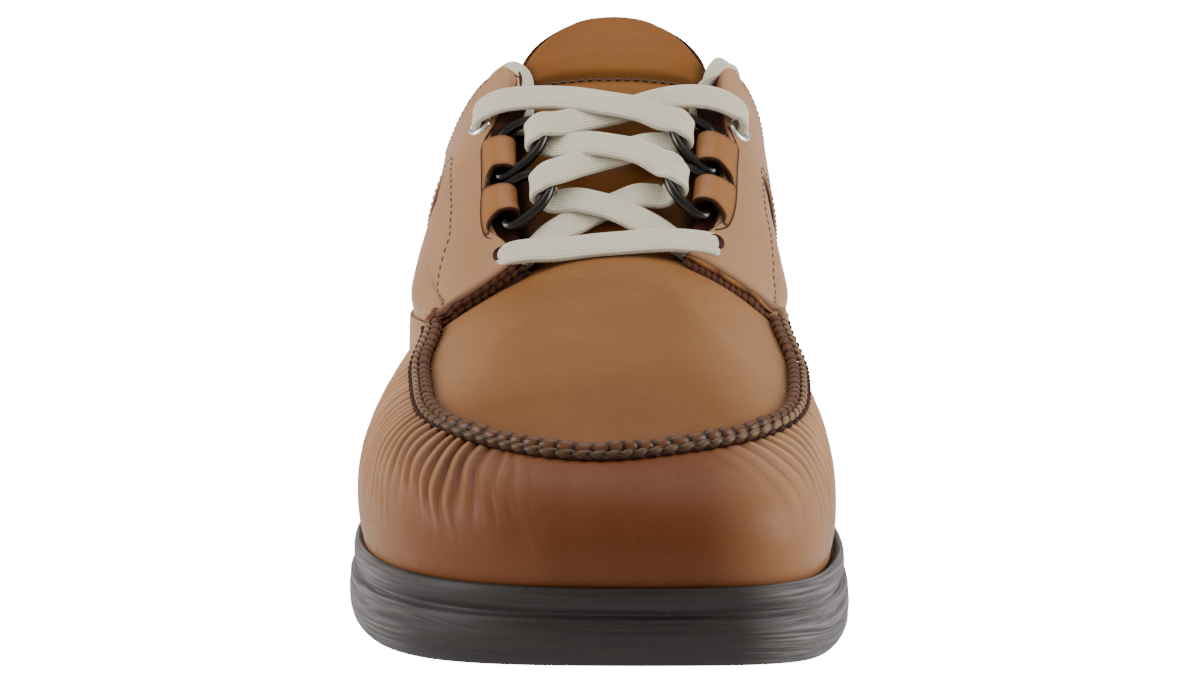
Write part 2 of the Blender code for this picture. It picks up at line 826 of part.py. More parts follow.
def make_eyelet(name, side, finish):
    middle, inwards, away, back = hole_frame(side, HOLES[0])
    rings = []
    for step in range(EYELET_SIDES):
        turn = step / EYELET_SIDES * 2 * np.pi
        spoke = inwards * np.cos(turn) + back * np.sin(turn)
        rings.append([middle + spoke * radius + away * height for radius, height in EYELET_WALL])
    rings.append(rings[0])
    return finish_object(name, lambda bm: tube_of_rings(bm, rings), finish)


def strip(bm, points, flat, width=LACE_WIDTH, thick=LACE_THICK):
    """A flat lace along a smooth line through points, its face square to the direction flat."""
    curve = smooth_curve(points)[:: FINE // 2]
    flat = np.array(flat) / np.linalg.norm(flat)
    run = np.gradient(curve, axis=0)
    rings = []
    for point, ahead in zip(curve, run):
        side = np.cross(flat, ahead)
        side *= width / 2 / np.linalg.norm(side)
        face = np.cross(ahead, side)
        face *= thick / 2 / np.linalg.norm(face)
        rings.append([point + side + face, point + side - face, point - side - face, point - side + face])
    made = tube_of_rings(bm, rings)
    for ring in (made[0], made[-1]):
        bm.faces.new(ring)


# The flat lace: each crossing has a strand on top and one below it, through these points.
BAR = ((-24, 122.6, 75.6), (-17, 121.8, 75.8), (0, 121.6, 76.2), (17, 121.8, 78), (24, 122.6, 78.2))
CROSSINGS = {
    "low": (
        ((-14.5, 139.5, 81), (-7, 136.6, 81.6), (0, 134, 80.8), (8, 131, 79.4), (16, 128.4, 78)),
        ((14, 139.8, 83.4), (7, 137, 80.8), (0, 134, 78.6), (-8, 131, 77.2), (-15, 128.4, 76.4)),
    ),
    "mid": (
        (
            (-14.6, 150.4, 90.8), (-7, 148.6, 91.6), (0, 146.4, 90.8),
            (7, 143.8, 92), (12.5, 141.8, 93.4), (17, 140.8, 92.2),
        ),
        (
            (14.8, 150.4, 91.6), (7, 148.8, 90), (0, 146.4, 88.4),
            (-7, 143.6, 89.6), (-12, 141.6, 91.2), (-17, 140.4, 90),
        ),
    ),
    "top": (
        (
            (-24, 160.8, 101.2), (-14, 159.4, 103), (0, 157.2, 102.8),
            (7, 156, 103), (12, 154.8, 103), (17, 154, 101.6),
        ),
        (
            (24, 161, 103), (14, 159.6, 103.4), (0, 157.2, 100.6),
            (-7, 155.8, 101), (-12, 154.6, 101.8), (-17, 153.6, 100.4),
        ),
    ),
}
LACE_FACE = (0, -0.6, 0.8)
# The lace past the top eyelets: up inside the facing, then over and down behind its corner.
LoopRow = namedtuple("LoopRow", "lateral medial along up")
LOOP = (
    LoopRow(22.4, 22.4, 161, 94.6),
    LoopRow(20.2, 22.4, 167.5, 100.6),
    LoopRow(19, 22.4, 172.5, 104.6),
    LoopRow(20.2, 24.2, 176.4, 106.8),
    LoopRow(23.6, 27.2, 179.2, 107.4),
    LoopRow(26.6, 29.4, 182.2, 105.2),
    LoopRow(27.9, 30, 186.2, 99.6),
    LoopRow(28.4, 30, 190, 91.4),
    LoopRow(29.6, 30.6, 193, 83),
)
LOOP_RADIUS = 1.5


def make_lace(finish):
    finish_object("lace_bar", lambda bm: strip(bm, BAR, LACE_FACE), finish)
    for name, (over, under) in CROSSINGS.items():
        item = finish_object(f"lace_cross_{name}", lambda bm: strip(bm, over, LACE_FACE), finish)
        below = finish_object(f"under_{name}", lambda bm: strip(bm, under, LACE_FACE), finish)
        below.hide_render = True
        below.display_type = "WIRE"
        join = item.modifiers.new("join", "BOOLEAN")
        join.operation = "UNION"
        join.object = below


def make_cord(name, points, radius, finish, closed=False, smoothness=1):
    line = bpy.data.curves.new(name, "CURVE")
    line.dimensions = "3D"
    line.bevel_depth = radius * MM
    line.bevel_resolution = smoothness
    line.use_fill_caps = not closed
    spline = line.splines.new("POLY")
    spline.points.add(len(points) - 1)
    for point, position in zip(spline.points, points):
        point.co = (*place(position), 1)
    spline.use_cyclic_u = closed
    line.materials.append(finish)
    item = bpy.data.objects.new(name, line)
    bpy.context.scene.collection.objects.link(item)
    return item


def main():
    clear_scene()
    tan = material("tan_leather", (0.36, 0.19, 0.10), 0.45)
    rubber = material("sole_rubber", (0.045, 0.038, 0.035), 0.5)
    lining = material("insole_leather", (0.45, 0.33, 0.22), 0.7)
    dark_metal = material("dark_metal", (0.05, 0.047, 0.042), 0.3, 1.0)
    silver = material("silver_metal", (0.75, 0.75, 0.73), 0.25, 1.0)
    cotton = material("lace_cotton", (0.66, 0.62, 0.52), 0.9)
    cut(make_sole(rubber), make_channel_cutter())
    make_insole(lining)
    upper = make_upper(tan)
    punch = make_punch()
    cut(upper, punch)
    make_tongue(tan)
    make_seam(tan)
    for name, side, sign in SIDES:
        cut(make_quarter(f"quarter_{name}", side, sign, tan), punch)
        make_eyelet(f"eyelet_{name}", side, silver)
        for level_name, start, end in TABS:
            make_tab(f"tab_{name}_{level_name}", side, start, end, tan)
            loop = ring_loop(side, start, end)
            make_cord(f"ring_{name}_{level_name}", loop, RING_WIRE / 2, dark_metal, closed=True)
        path = smooth_curve([(sign * row[side], row.along, row.up + side) for row in LOOP])
        make_cord(f"lace_loop_{name}", path[:: FINE // 2], LOOP_RADIUS, cotton)
    make_lace(cotton)


main()
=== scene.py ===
# %% [markdown]
# # A laced moc-toe shoe
# This lesson dresses the solids of a right shoe. The leather upper has a raised, gathered seam
# round its toe, two metal rings on each side carry a flat lace, and a one-piece rubber sole lies
# below. Sizes are in millimetres in three directions: across (towards the big toe is positive),
# along (0 at the toe tip) and up. `place` turns them into metres.

# %% Load the frame
from collections import namedtuple

import bmesh
import bpy
import numpy as np
from mathutils import Matrix, Vector


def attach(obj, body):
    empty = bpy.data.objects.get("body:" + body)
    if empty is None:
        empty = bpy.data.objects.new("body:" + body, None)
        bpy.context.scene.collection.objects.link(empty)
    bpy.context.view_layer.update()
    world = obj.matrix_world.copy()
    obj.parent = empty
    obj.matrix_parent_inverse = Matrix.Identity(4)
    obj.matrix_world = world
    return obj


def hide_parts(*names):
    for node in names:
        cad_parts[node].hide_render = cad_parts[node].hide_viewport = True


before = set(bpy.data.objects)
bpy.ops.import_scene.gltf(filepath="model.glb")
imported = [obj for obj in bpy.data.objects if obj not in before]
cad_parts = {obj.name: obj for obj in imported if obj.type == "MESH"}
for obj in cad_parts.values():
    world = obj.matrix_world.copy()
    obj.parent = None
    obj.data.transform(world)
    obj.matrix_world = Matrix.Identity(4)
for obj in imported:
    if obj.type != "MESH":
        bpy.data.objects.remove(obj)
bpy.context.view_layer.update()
MM = 0.001
FINE = 24  # points of a smooth curve between two rows of a table
print("solid pieces:", len(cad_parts))

# %% [markdown]
# ## Camera
# The shoe is seen from in front of its toe and a little above, through a long lens. A long lens
# far away keeps the width of the heel close to that of the toe, as a product view does. Turning
# the camera by its Euler angles is enough here, because it looks straight along the shoe.

# %% Camera
CAMERA_RISE = np.radians(12.0)
CAMERA_AWAY = 1.2
CAMERA_TARGET = np.array([0.0, -0.05, 0.0565])
LENS_LENGTH, SENSOR_WIDE = 157.8, 36  # millimetres
LENS_SHIFT = 0.00167
lens = bpy.data.cameras.new("product_view")
lens.lens = LENS_LENGTH
lens.sensor_width = SENSOR_WIDE
lens.shift_x = LENS_SHIFT
camera = bpy.data.objects.new("product_view", lens)
bpy.context.scene.collection.objects.link(camera)
towards_camera = np.array([0, -np.cos(CAMERA_RISE), np.sin(CAMERA_RISE)])
camera.location = CAMERA_TARGET + towards_camera * CAMERA_AWAY
camera.rotation_euler = (np.pi / 2 - CAMERA_RISE, 0, 0)
bpy.context.scene.camera = camera
print("camera at", [round(x, 3) for x in camera.location])

# %% [markdown]
# ## Floor and light
# A pale floor and a pale sky give even light. They look brighter to the camera than they shine on
# the shoe, so the background is white and the leather keeps its depth. A large soft lamp hangs
# above, and two narrower ones stand at the left and the right, which gives the leather broad
# highlights and leaves the toe's front darker than its top.


# %% Floor and light
FLOOR_SIZE, FLOOR_DROP = 6, 0.0003  # metres; the drop keeps it clear of the tread
SKY_LIGHT, SKY_SEEN = 0.5, 16  # what lights the shoe, and what the camera sees besides
LAMP_POWER = 7


def add_lamp(name, place_m, target_m, size_m, power):
    data = bpy.data.lights.new(name, "AREA")
    data.shape = "RECTANGLE"
    data.size, data.size_y = size_m
    data.energy = power
    lamp = bpy.data.objects.new(name, data)
    lamp.location = place_m
    lamp.rotation_euler = (Vector(target_m) - Vector(place_m)).to_track_quat("-Z", "Y").to_euler()
    bpy.context.scene.collection.objects.link(lamp)


floor_mesh = bpy.data.meshes.new("floor")
floor_bm = bmesh.new()
bmesh.ops.create_grid(floor_bm, x_segments=1, y_segments=1, size=FLOOR_SIZE)
floor_bm.to_mesh(floor_mesh)
floor_bm.free()
floor = bpy.data.objects.new("floor", floor_mesh)
floor.location.z = -FLOOR_DROP
bpy.context.scene.collection.objects.link(floor)

world = bpy.data.worlds.new("studio")
world.use_nodes = True
sky = world.node_tree.nodes["Background"]
sky.inputs["Color"].default_value = (1, 1, 1, 1)
seen = world.node_tree.nodes.new("ShaderNodeLightPath")
sky_strength = world.node_tree.nodes.new("ShaderNodeMath")
sky_strength.operation = "MULTIPLY_ADD"
sky_strength.inputs[1].default_value = SKY_SEEN
sky_strength.inputs[2].default_value = SKY_LIGHT
world.node_tree.links.new(seen.outputs["Is Camera Ray"], sky_strength.inputs[0])
world.node_tree.links.new(sky_strength.outputs[0], sky.inputs["Strength"])
bpy.context.scene.world = world
add_lamp("top_light", (0, 0.15, 1.0), (0, 0, 0.05), (0.9, 0.9), LAMP_POWER)
for name, across_m in (("left_light", -0.8), ("right_light", 0.8)):
    add_lamp(name, (across_m, -0.12, 0.35), (0, -0.05, 0.05), (0.35, 0.6), LAMP_POWER)
print("lamps:", len(bpy.data.lights))

# %% [markdown]
# ## The shoe's own lines
# A shoe follows a few long curves: the edge of the sole, the line of the toe seam and the free
# edge of the opening. Each is a short table of rows, with the distance along the shoe, how far out
# the lateral and the medial half lie, the height, and how much higher the medial half is. The
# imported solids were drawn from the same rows, so what is modelled here lies where they lie.

# %% Tables of the shoe's lines
Outline = namedtuple("Outline", "along lateral medial up lift", defaults=(0, 0))
LENGTH = 300.0
SOLE_EDGE = [Outline(*row) for row in (
    (0, -9, 9), (4, 20, 32), (12, 34, 42), (29, 47.4, 49.4), (53, 56, 53), (79, 58.4, 53),
    (118, 53.6, 46.4), (145, 48.2, 40.8), (170, 44.6, 38), (200, 41.5, 36.8), (240, 39, 37.8),
    (266, 36, 35.4), (284, 28.4, 28), (295, 16.4, 16.4), (LENGTH, 0, 0),
)]
SEAM_LINE = [Outline(*row) for row in (
    (22, 3.3, -3.3, 48), (26.5, 16.5, 12.5, 48.2), (35.5, 27.4, 27, 48.6), (47, 36, 36.6, 49.2),
    (59, 39.8, 40.6, 49.8), (75, 41.4, 41.8, 51), (97, 41.8, 41.4, 53), (118, 40.2, 38.8, 55.8, 1.2),
    (135, 44.6, 41.2, 54.6, 0.6), (153, 46.2, 41.6, 52.6), (176, 44.4, 40.2, 50), (202, 42.4, 39.0, 48),
    (232, 40.6, 38.2, 46), (262, 36.4, 35.4, 45), (282, 27.6, 27.2, 44.6), (293, 15.8, 15.8, 44.5),
    (297.6, 0, 0, 44.5),
)]
TOP_LINE = [Outline(*row) for row in (
    (119, 18.4, 17.4, 69.4, 2.6), (125, 21.5, 20.5, 71.6, 2.6), (132, 25.8, 24.6, 75.4, 2.4),
    (139, 27.5, 26, 79.8, 2), (149, 27.8, 26.3, 86.8, 1), (159, 27.4, 26.8, 94.4, 0.4),
    (167, 24, 26.2, 101.4), (173.5, 23.4, 27, 106), (181, 27.6, 30.4, 103.6), (189, 32.8, 34, 95.6),
    (199, 36, 35.6, 87.6), (213, 37.6, 35.8, 81.8), (233, 36.6, 34.8, 79), (256, 33, 31.8, 79.8),
    (275, 26.4, 25.8, 83), (286.5, 16.6, 16.4, 87.4), (292, 0, 0, 90),
)]
SOLE_SPLIT, SEAM_SPLIT = 6, 7  # the row of each table that is level with the apron's end
SOLE_TOP = [
    (0, 24.3), (20, 22.2), (40, 20.3), (64, 18.9), (92, 18.5), (122, 20), (152, 22.8),
    (182, 25.9), (212, 28.7), (242, 30.6), (272, 31.6), (LENGTH, 32),
]
APRON_CREST = [
    (22, 48), (26.5, 50), (35.5, 53.2), (48, 57), (67, 62), (90, 67), (106, 70), (122, 72.8),
]
PANEL_ARCH = [
    (113, 56.5), (121, 59.3), (133, 63.8), (148, 72), (158, 78.6), (166, 82.6),
    (171, 80.5), (179, 71.5), (190, 62.5), (204, 54.5), (222, 48), (240, 45),
]
FRONT_STEPS = np.linspace(0, 1, 15)
REAR_STEPS = [0, 0.04, 0.08, 0.12, 0.155, 0.19, 0.22, 0.25, 0.28, 0.315, 0.355, 0.40]
REAR_STEPS += [0.46, 0.54, 0.63, 0.72, 0.79, 0.85, 0.90, 0.95, 1]
JOIN = len(FRONT_STEPS) - 1  # the station at the end of the apron
HEEL = JOIN + len(REAR_STEPS) - 1
LATERAL, MEDIAL = 0, 1
SIDES = (("lateral", LATERAL), ("medial", MEDIAL))
print("stations from toe to heel:", HEEL)

# %% [markdown]
# ## Smooth curves and stations
# A cubic spline through a table's rows has no kink, unlike straight runs. A station is a number
# that grows from 0 at the toe to `HEEL`. Reading every line at the same station gives the points
# that belong to one cross-section, so a surface can be stretched between two lines.


# %% Smooth curves
def smooth_curve(points, closed=False, fine=FINE):
    """Points on a cubic spline through these ones, by chord length."""
    knots = np.array(points, float)
    if closed:
        knots = np.vstack([knots, knots[:1]])
    chord = np.linalg.norm(np.diff(knots, axis=0), axis=1)
    count = len(knots) - closed
    system = np.zeros((count, count))
    wanted = np.zeros((count, knots.shape[1]))
    for i in range(count):
        if not closed and i in (0, count - 1):
            system[i, i] = 1
            continue
        before, after = chord[i - 1], chord[i]
        system[i, i - 1] += before
        system[i, i] += 2 * (before + after)
        system[i, (i + 1) % count] += after
        previous = knots[i - 1] if i or not closed else knots[count - 1]
        wanted[i] = 6 * ((knots[i + 1] - knots[i]) / after - (knots[i] - previous) / before)
    bend = np.linalg.solve(system, wanted)
    curve = []
    for i in range(len(knots) - 1):
        span, j = chord[i], (i + 1) % count
        for step in range(fine):
            run = step / fine * span
            rest = span - run
            curve.append(
                (bend[i] * rest**3 + bend[j] * run**3) / (6 * span)
                + (knots[i] / span - bend[i] * span / 6) * rest
                + (knots[i + 1] / span - bend[j] * span / 6) * run
            )
    return np.array(curve + [knots[-1]])


def run_length(curve):
    return np.concatenate([[0], np.cumsum(np.linalg.norm(np.diff(curve, axis=0), axis=1))])


def at_share(curve, share, values=None):
    """The points these shares of the way along a curve, or other values kept along it."""
    run = run_length(curve)
    wanted = np.asarray(share) * run[-1]
    columns = curve.T if values is None else values.T
    return np.stack([np.interp(wanted, run, column) for column in columns], axis=-1)


def even_points(curve, pitch):
    """Points on a curve this far apart, ends included."""
    count = max(int(round(run_length(curve)[-1] / pitch)), 1)
    return at_share(curve, np.linspace(0, 1, count + 1))


def height_at(profile, along):
    """The height of one of the tables of (along, up) rows, at these places."""
    key = id(profile)
    if key not in drawn_profiles:
        drawn_profiles[key] = smooth_curve(profile)
    return np.interp(along, drawn_profiles[key][:, 0], drawn_profiles[key][:, 1])


def unit(vectors):
    """The same directions, one long."""
    return vectors / np.maximum(np.linalg.norm(vectors, axis=-1, keepdims=True), 1e-9)


def ease(share):
    """0 up to 0 and 1 from 1 on, with a soft start and end between."""
    share = np.clip(share, 0, 1)
    return share * share * (3 - 2 * share)


drawn_profiles = {}  # each profile's smooth curve, kept for its next reading


def outline_halves(rows):
    """The lateral and the medial half of a closed outline, and the level directions out of it."""
    lateral = [(-row.lateral, row.along, row.up) for row in rows]
    medial = [(row.medial, row.along, row.up + row.lift) for row in rows[1:-1]]
    loop = smooth_curve(lateral + medial[::-1], closed=True)
    run = np.roll(loop[:-1], -1, axis=0) - np.roll(loop[:-1], 1, axis=0)
    out = unit(np.column_stack([-run[:, 1], run[:, 0]]))
    out = np.vstack([out, out[:1]])
    middle = (len(rows) - 1) * FINE
    return (loop[: middle + 1], loop[middle:][::-1]), (out[: middle + 1], out[middle:][::-1])


# %% Lines read at any station
STATIONS = np.linspace(0, HEEL, HEEL * 16 + 1)


def shares_of(stations):
    """The shares of a line's front part and of its rear part that belong to these stations."""
    front = np.interp(stations, range(JOIN + 1), FRONT_STEPS)
    rear = np.interp(stations - JOIN, range(len(REAR_STEPS)), REAR_STEPS)
    return front, rear


def station_line(curve, split, values=None):
    """A curve's points at every station, or other values kept along it; split is a row's number."""
    values = curve if values is None else values
    cut = split * FINE
    front, rear = shares_of(STATIONS)
    ahead = at_share(curve[: cut + 1], front, values[: cut + 1])
    behind = at_share(curve[cut:], rear, values[cut:])
    return np.where((STATIONS <= JOIN)[:, None], ahead, behind)


def top_halves():
    """The lateral and the medial half of the free edge, which is open at the tongue."""
    lateral = [(-row.lateral, row.along, row.up) for row in TOP_LINE]
    medial = [(row.medial, row.along, row.up + row.lift) for row in TOP_LINE[:-1]]
    curve = smooth_curve(lateral + medial[::-1])
    middle = (len(TOP_LINE) - 1) * FINE
    return curve[: middle + 1], curve[middle:][::-1]


sole_halves, sole_out = outline_halves(SOLE_EDGE)
seam_halves, _ = outline_halves(SEAM_LINE)
top_fine = top_halves()
LINES = {"edge": [], "out": [], "seam": [], "top": []}
for side_number in (LATERAL, MEDIAL):
    edge_line = sole_halves[side_number][:, :2]
    LINES["edge"].append(station_line(edge_line, SOLE_SPLIT))
    LINES["out"].append(unit(station_line(edge_line, SOLE_SPLIT, sole_out[side_number])))
    LINES["seam"].append(station_line(seam_halves[side_number], SEAM_SPLIT))
    LINES["top"].append(at_share(top_fine[side_number], shares_of(STATIONS)[1]))


def read(line, side, station):
    """A point, or a direction, of one of the `LINES` at a station."""
    table = LINES[line][side]
    return np.stack([np.interp(station, STATIONS, column) for column in table.T], axis=-1)


across_middle = (sole_halves[0][:, 0].min() + sole_halves[1][:, 0].max()) / 2


def place(points):
    """Millimetres across, along and up, as metres in the frame."""
    points = np.asarray(points, float)
    return (points - np.array([across_middle, LENGTH / 2, 0])) * MM


print("middle of the sole lies", round(across_middle, 2), "mm across")

# %% [markdown]
# ## Surfaces of the upper
# Each cross-section of the upper is a Bezier curve: from the foot of the wall, over its belly, to
# the toe seam, and from the seam to the opening's edge. All are functions of side, station and
# share, so a grid of any fineness can be laid on them.

# %% Surfaces of the upper
FIT_GAP = 0.3  # between the leather and the sole's top
LEDGE, MEDIAL_LEDGE = 3.2, 1.4  # how far the sole stands out below the wall
STEP = 0.9  # how far the wall's top stands out below the seam
APRON_LEAN = 2.8  # the plug is this much higher on its medial side
OPEN_SHARE = 0.44  # the part of the plug's last line that lies in the opening
STATION_REACH, SHARE_REACH = 0.09, 0.03


def bezier(a, b, c, d, share):
    rest = 1 - share
    return a * rest**3 + 3 * b * rest**2 * share + 3 * c * rest * share**2 + d * share**3


def moved(point, out, distance, up):
    """A point moved level along a direction, and up."""
    level = out * np.asarray(distance)[..., None]
    return point + np.concatenate([level, np.broadcast_to(up, level.shape[:-1])[..., None]], -1)


def spread(*values):
    """Arrays of one shape from arrays or numbers that fit together."""
    arrays = np.broadcast_arrays(*[np.asarray(v, float) for v in values])
    return [array.copy() for array in arrays]


def wall(side, station, share):
    """The upper's side from the sole (share 0) to the seam line (share 1)."""
    station, share = spread(station, share)
    out, edge = read("out", side, station), read("edge", side, station)
    inset = LEDGE + side * MEDIAL_LEDGE * np.sin(np.pi * station / HEEL)
    foot = np.concatenate([edge - out * inset[..., None], np.zeros_like(station)[..., None]], -1)
    foot[..., 2] = height_at(SOLE_TOP, foot[..., 1]) + FIT_GAP
    head = moved(read("seam", side, station), out, np.full_like(station, STEP), 0)
    rise = head[..., 2] - foot[..., 2]
    lean = np.maximum(((foot - head)[..., :2] * out).sum(-1), 0)
    rear = ease((station - JOIN) / 3)
    belly = moved(foot, out, 3.4 - 0.4 * side - 0.8 * rear, 0.35 * rise)
    roll = moved(head, out, (1 - 0.18 * rear) * lean + 0.6 * rear, -(0.14 + 0.2 * rear) * rise)
    return bezier(foot, belly, roll, head, share[..., None])


def apron(station, share):
    """The apron between the seam's two sides: share runs from -1 at the lateral one to 1."""
    station, share = spread(station, share)
    lateral, medial = read("seam", LATERAL, station), read("seam", MEDIAL, station)
    point = lateral * (1 - share[..., None]) / 2 + medial * (1 + share[..., None]) / 2
    dome = 1 - share**2
    point[..., 1] += 4.5 * (station / JOIN) ** 2 * dome
    crest = height_at(APRON_CREST, point[..., 1]) - (lateral[..., 2] + medial[..., 2]) / 2
    point[..., 2] += (crest + APRON_LEAN * station / JOIN * share) * dome
    return point


def quarter(side, station, share):
    """The upper's side from the seam line (share 0) to its free edge (share 1)."""
    station, share = spread(station, share)
    out, head = read("out", side, station), read("top", side, station)
    foot = read("seam", side, station)
    rise = head[..., 2] - foot[..., 2]
    inset = ((foot - head)[..., :2] * out).sum(-1)
    collar = ease((station - JOIN - 8) / 3)
    start = ease((station - JOIN) / 3)
    low = moved(foot, out, -2.5 * (1 - start) + 0.6 * collar, (0.28 + 0.12 * start) * rise)
    high = moved(head, out, 0.45 * inset + 0.8 * collar, -(0.1 + 0.25 * collar) * rise)
    side_line = bezier(foot, low, high, head, share[..., None])
    last_line = apron(JOIN, (1 - share * (1 - OPEN_SHARE)) * (1 if side else -1))
    blend = np.clip(station - JOIN, 0, 1)[..., None]
    return last_line * (1 - blend) + side_line * blend


def quarter_normal(side, station, share):
    """The quarter's outward normal, from points a little behind and ahead, above and below."""
    station, share = spread(station, share)
    behind = quarter(side, np.minimum(station + STATION_REACH, HEEL), share)
    run = behind - quarter(side, np.maximum(station - STATION_REACH, JOIN), share)
    above = quarter(side, station, np.minimum(share + SHARE_REACH, 1))
    rise = above - quarter(side, station, np.maximum(share - SHARE_REACH, 0))
    normal = np.cross(run, rise) if side else np.cross(rise, run)
    heel = (station > HEEL - 0.01)[..., None]
    return unit(np.where(heel, normal * np.array([0, 1, 1]), normal))


heel_points = quarter(LATERAL, np.array([HEEL]), np.array([0.0, 1.0]))
print("back seam from", heel_points[0].round(1), "to", heel_points[1].round(1))

# %% [markdown]
# ## Modelling helpers
# Most pieces here are sheets or swept bars. Both start as a flat grid from the grid operator, whose
# points are then carried to their places. Joining the first and the last column makes a tube, and
# merging doubled points closes it. A grid keeps neat quads, which shade well on soft leather.


# %% Grids, shells and swept bars
MERGE_GAP, LEAST_EDGE = 2e-6, 1e-6  # metres


def add_grid(bm, points, close_columns, close_rows=False, values=None, inner=None):
    """Lays a grid on an array of points (columns, rows, 3). inner is the first row of the face
    that gets the second material."""
    values = values or {}
    if close_columns:
        points = np.concatenate([points, points[:1]])
        values = {name: np.concatenate([v, v[:1]]) for name, v in values.items()}
    if close_rows:
        points = np.concatenate([points, points[:, :1]], axis=1)
        values = {name: np.concatenate([v, v[:, :1]], axis=1) for name, v in values.items()}
    columns, rows = points.shape[:2]
    uv = bm.loops.layers.uv.verify()
    for name in values:
        if bm.verts.layers.float.get(name) is None:
            bm.verts.layers.float.new(name)
    layers = {name: bm.verts.layers.float[name] for name in values}
    made = bmesh.ops.create_grid(bm, x_segments=columns - 1, y_segments=rows - 1, size=1)["verts"]
    metres = place(points)
    middle_column, middle_row = columns // 2, rows // 2
    u_run, v_run = run_length(points[:, middle_row]), run_length(points[middle_column])
    spots = {}
    for vert in made:
        i = int(round((vert.co.x + 1) / 2 * (columns - 1)))
        j = int(round((vert.co.y + 1) / 2 * (rows - 1)))
        spots[vert] = (i, j)
        vert.co = metres[i, j]
        for name, layer in layers.items():
            vert[layer] = values[name][i, j]
    faces = {face for vert in made for face in vert.link_faces}
    for face in faces:
        lowest = min(spots[vert][1] for vert in face.verts)
        if inner is not None and lowest >= inner:
            face.material_index = 1
        for loop in face.loops:
            i, j = spots[loop.vert]
            loop[uv].uv = (u_run[i], v_run[j])


def add_shell(bm, outer, inner, close_columns, values, lined):
    """A closed sheet with an outer and an inner face. Open ends are pinched shut."""
    ring = np.concatenate([outer, inner[:, ::-1]], axis=1)
    values = {name: np.concatenate([v, v[:, ::-1]], axis=1) for name, v in values.items()}
    if not close_columns:
        pinch = (outer + inner) / 2
        cap = np.concatenate([pinch, pinch[:, ::-1]], axis=1)
        ring = np.concatenate([cap[:1], ring, cap[-1:]])
        values = {name: np.concatenate([v[:1], v, v[-1:]]) for name, v in values.items()}
    add_grid(bm, ring, close_columns, True, values, outer.shape[1] if lined else None)


def add_bar(bm, rings, closed, values):
    """A swept bar through these rings of points. Its open ends are closed at their middles."""
    if not closed:
        ends = [np.broadcast_to(ring.mean(axis=0), ring.shape)[None] for ring in (rings[0], rings[-1])]
        rings = np.concatenate([ends[0], rings, ends[1]])
        values = {name: np.concatenate([v[:1], v, v[-1:]]) for name, v in values.items()}
    add_grid(bm, rings, closed, True, values)


def swept_rings(path, across, section, closed=False):
    """Rings of a section (width, height) along a path; across is the direction of its width."""
    if closed:
        run = unit(np.roll(path, -1, axis=0) - np.roll(path, 1, axis=0))
    else:
        run = unit(np.gradient(path, axis=0))
    across = np.broadcast_to(across, path.shape)
    side = unit(across - (across * run).sum(-1, keepdims=True) * run)
    face = np.cross(run, side)
    section = np.asarray(section)
    if section.ndim == 2:
        section = np.broadcast_to(section, (len(path), *section.shape))
    return path[:, None] + side[:, None] * section[..., :1] + face[:, None] * section[..., 1:]


def round_section(radius, sides):
    turn = np.linspace(0, 2 * np.pi, sides, endpoint=False)
    return np.column_stack([np.cos(turn) * radius, np.sin(turn) * radius])


# %% Stitches and finished pieces
CREASE_ANGLE = 0.9  # radians; faces that meet at more than this show an edge


def add_stitches(bm, path, length, pitch, radius):
    """Short rounded stitches laid end to end along a path, half sunk in the leather."""
    points = even_points(path, pitch)
    runs = unit(np.gradient(points, axis=0))
    middles = (points[1:] + points[:-1]) / 2
    for middle, run in zip(middles, (runs[1:] + runs[:-1]) / 2):
        run = Vector(run).normalized()
        turn = run.to_track_quat("Z", "Y").to_matrix().to_4x4()
        size = Matrix.Diagonal((radius * MM, radius * MM, length / 2 * MM, 1))
        spot = Matrix.Translation(Vector(place(middle)))
        bmesh.ops.create_uvsphere(bm, u_segments=6, v_segments=4, radius=1, matrix=spot @ turn @ size)


def make_piece(name, bm, materials, replaced=(), crease_angle=CREASE_ANGLE):
    """Closes a modelled mesh, turns its faces outwards and puts it in the scene."""
    bmesh.ops.remove_doubles(bm, verts=bm.verts, dist=MERGE_GAP)
    bmesh.ops.dissolve_degenerate(bm, edges=bm.edges, dist=LEAST_EDGE)
    if bm.calc_volume(signed=True) < 0:
        bmesh.ops.reverse_faces(bm, faces=bm.faces)
    mesh = bpy.data.meshes.new(name)
    bm.to_mesh(mesh)
    bm.free()
    for finish in materials:
        mesh.materials.append(finish)
    mesh.shade_smooth()
    mesh.set_sharp_from_angle(angle=crease_angle)
    item = bpy.data.objects.new(name, mesh)
    bpy.context.scene.collection.objects.link(item)
    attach(item, "root")
    if replaced:
        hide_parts(*replaced)
    print(f"{name}: {len(mesh.polygons)} faces")
    return item


def make_sheet(
    name, outer, inner, finishes, replaced=(), slot="tan_leather", closed=False, lined=True, **values
):
    """A piece that is one shell. values are kept on its points, for its finishes."""
    bm = bmesh.new()
    add_shell(bm, outer, inner, closed, values, lined)
    return make_piece(name, bm, finishes, replaced)


def make_bar(
    name, rings, finish, slot, replaced=(), closed=False, crease_angle=CREASE_ANGLE, **values
):
    """A piece that is one swept bar."""
    bm = bmesh.new()
    add_bar(bm, rings, closed, values)
    return make_piece(name, bm, [finish], replaced, crease_angle)


# %% [markdown]
# ## Effects shared by the finishes
# Leather has fine pores and soft creases, and its colour drifts in clouds where it was polished.
# Both effects are node groups, so that every leather here reads the same recipe with its own
# values. Groups give only masks and heights. The shader stays in each material.


# %% Node helpers and groups
def set_input(tree, socket, value):
    """Gives an input another node's output, or a plain value."""
    if isinstance(value, bpy.types.NodeSocket):
        tree.links.new(value, socket)
    else:
        socket.default_value = value


def add_node(tree, kind, links=None, **settings):
    made = tree.nodes.new("ShaderNode" + kind)
    for name, value in settings.items():
        setattr(made, name, value)
    for name, value in (links or {}).items():
        set_input(tree, made.inputs[name], value)
    return made


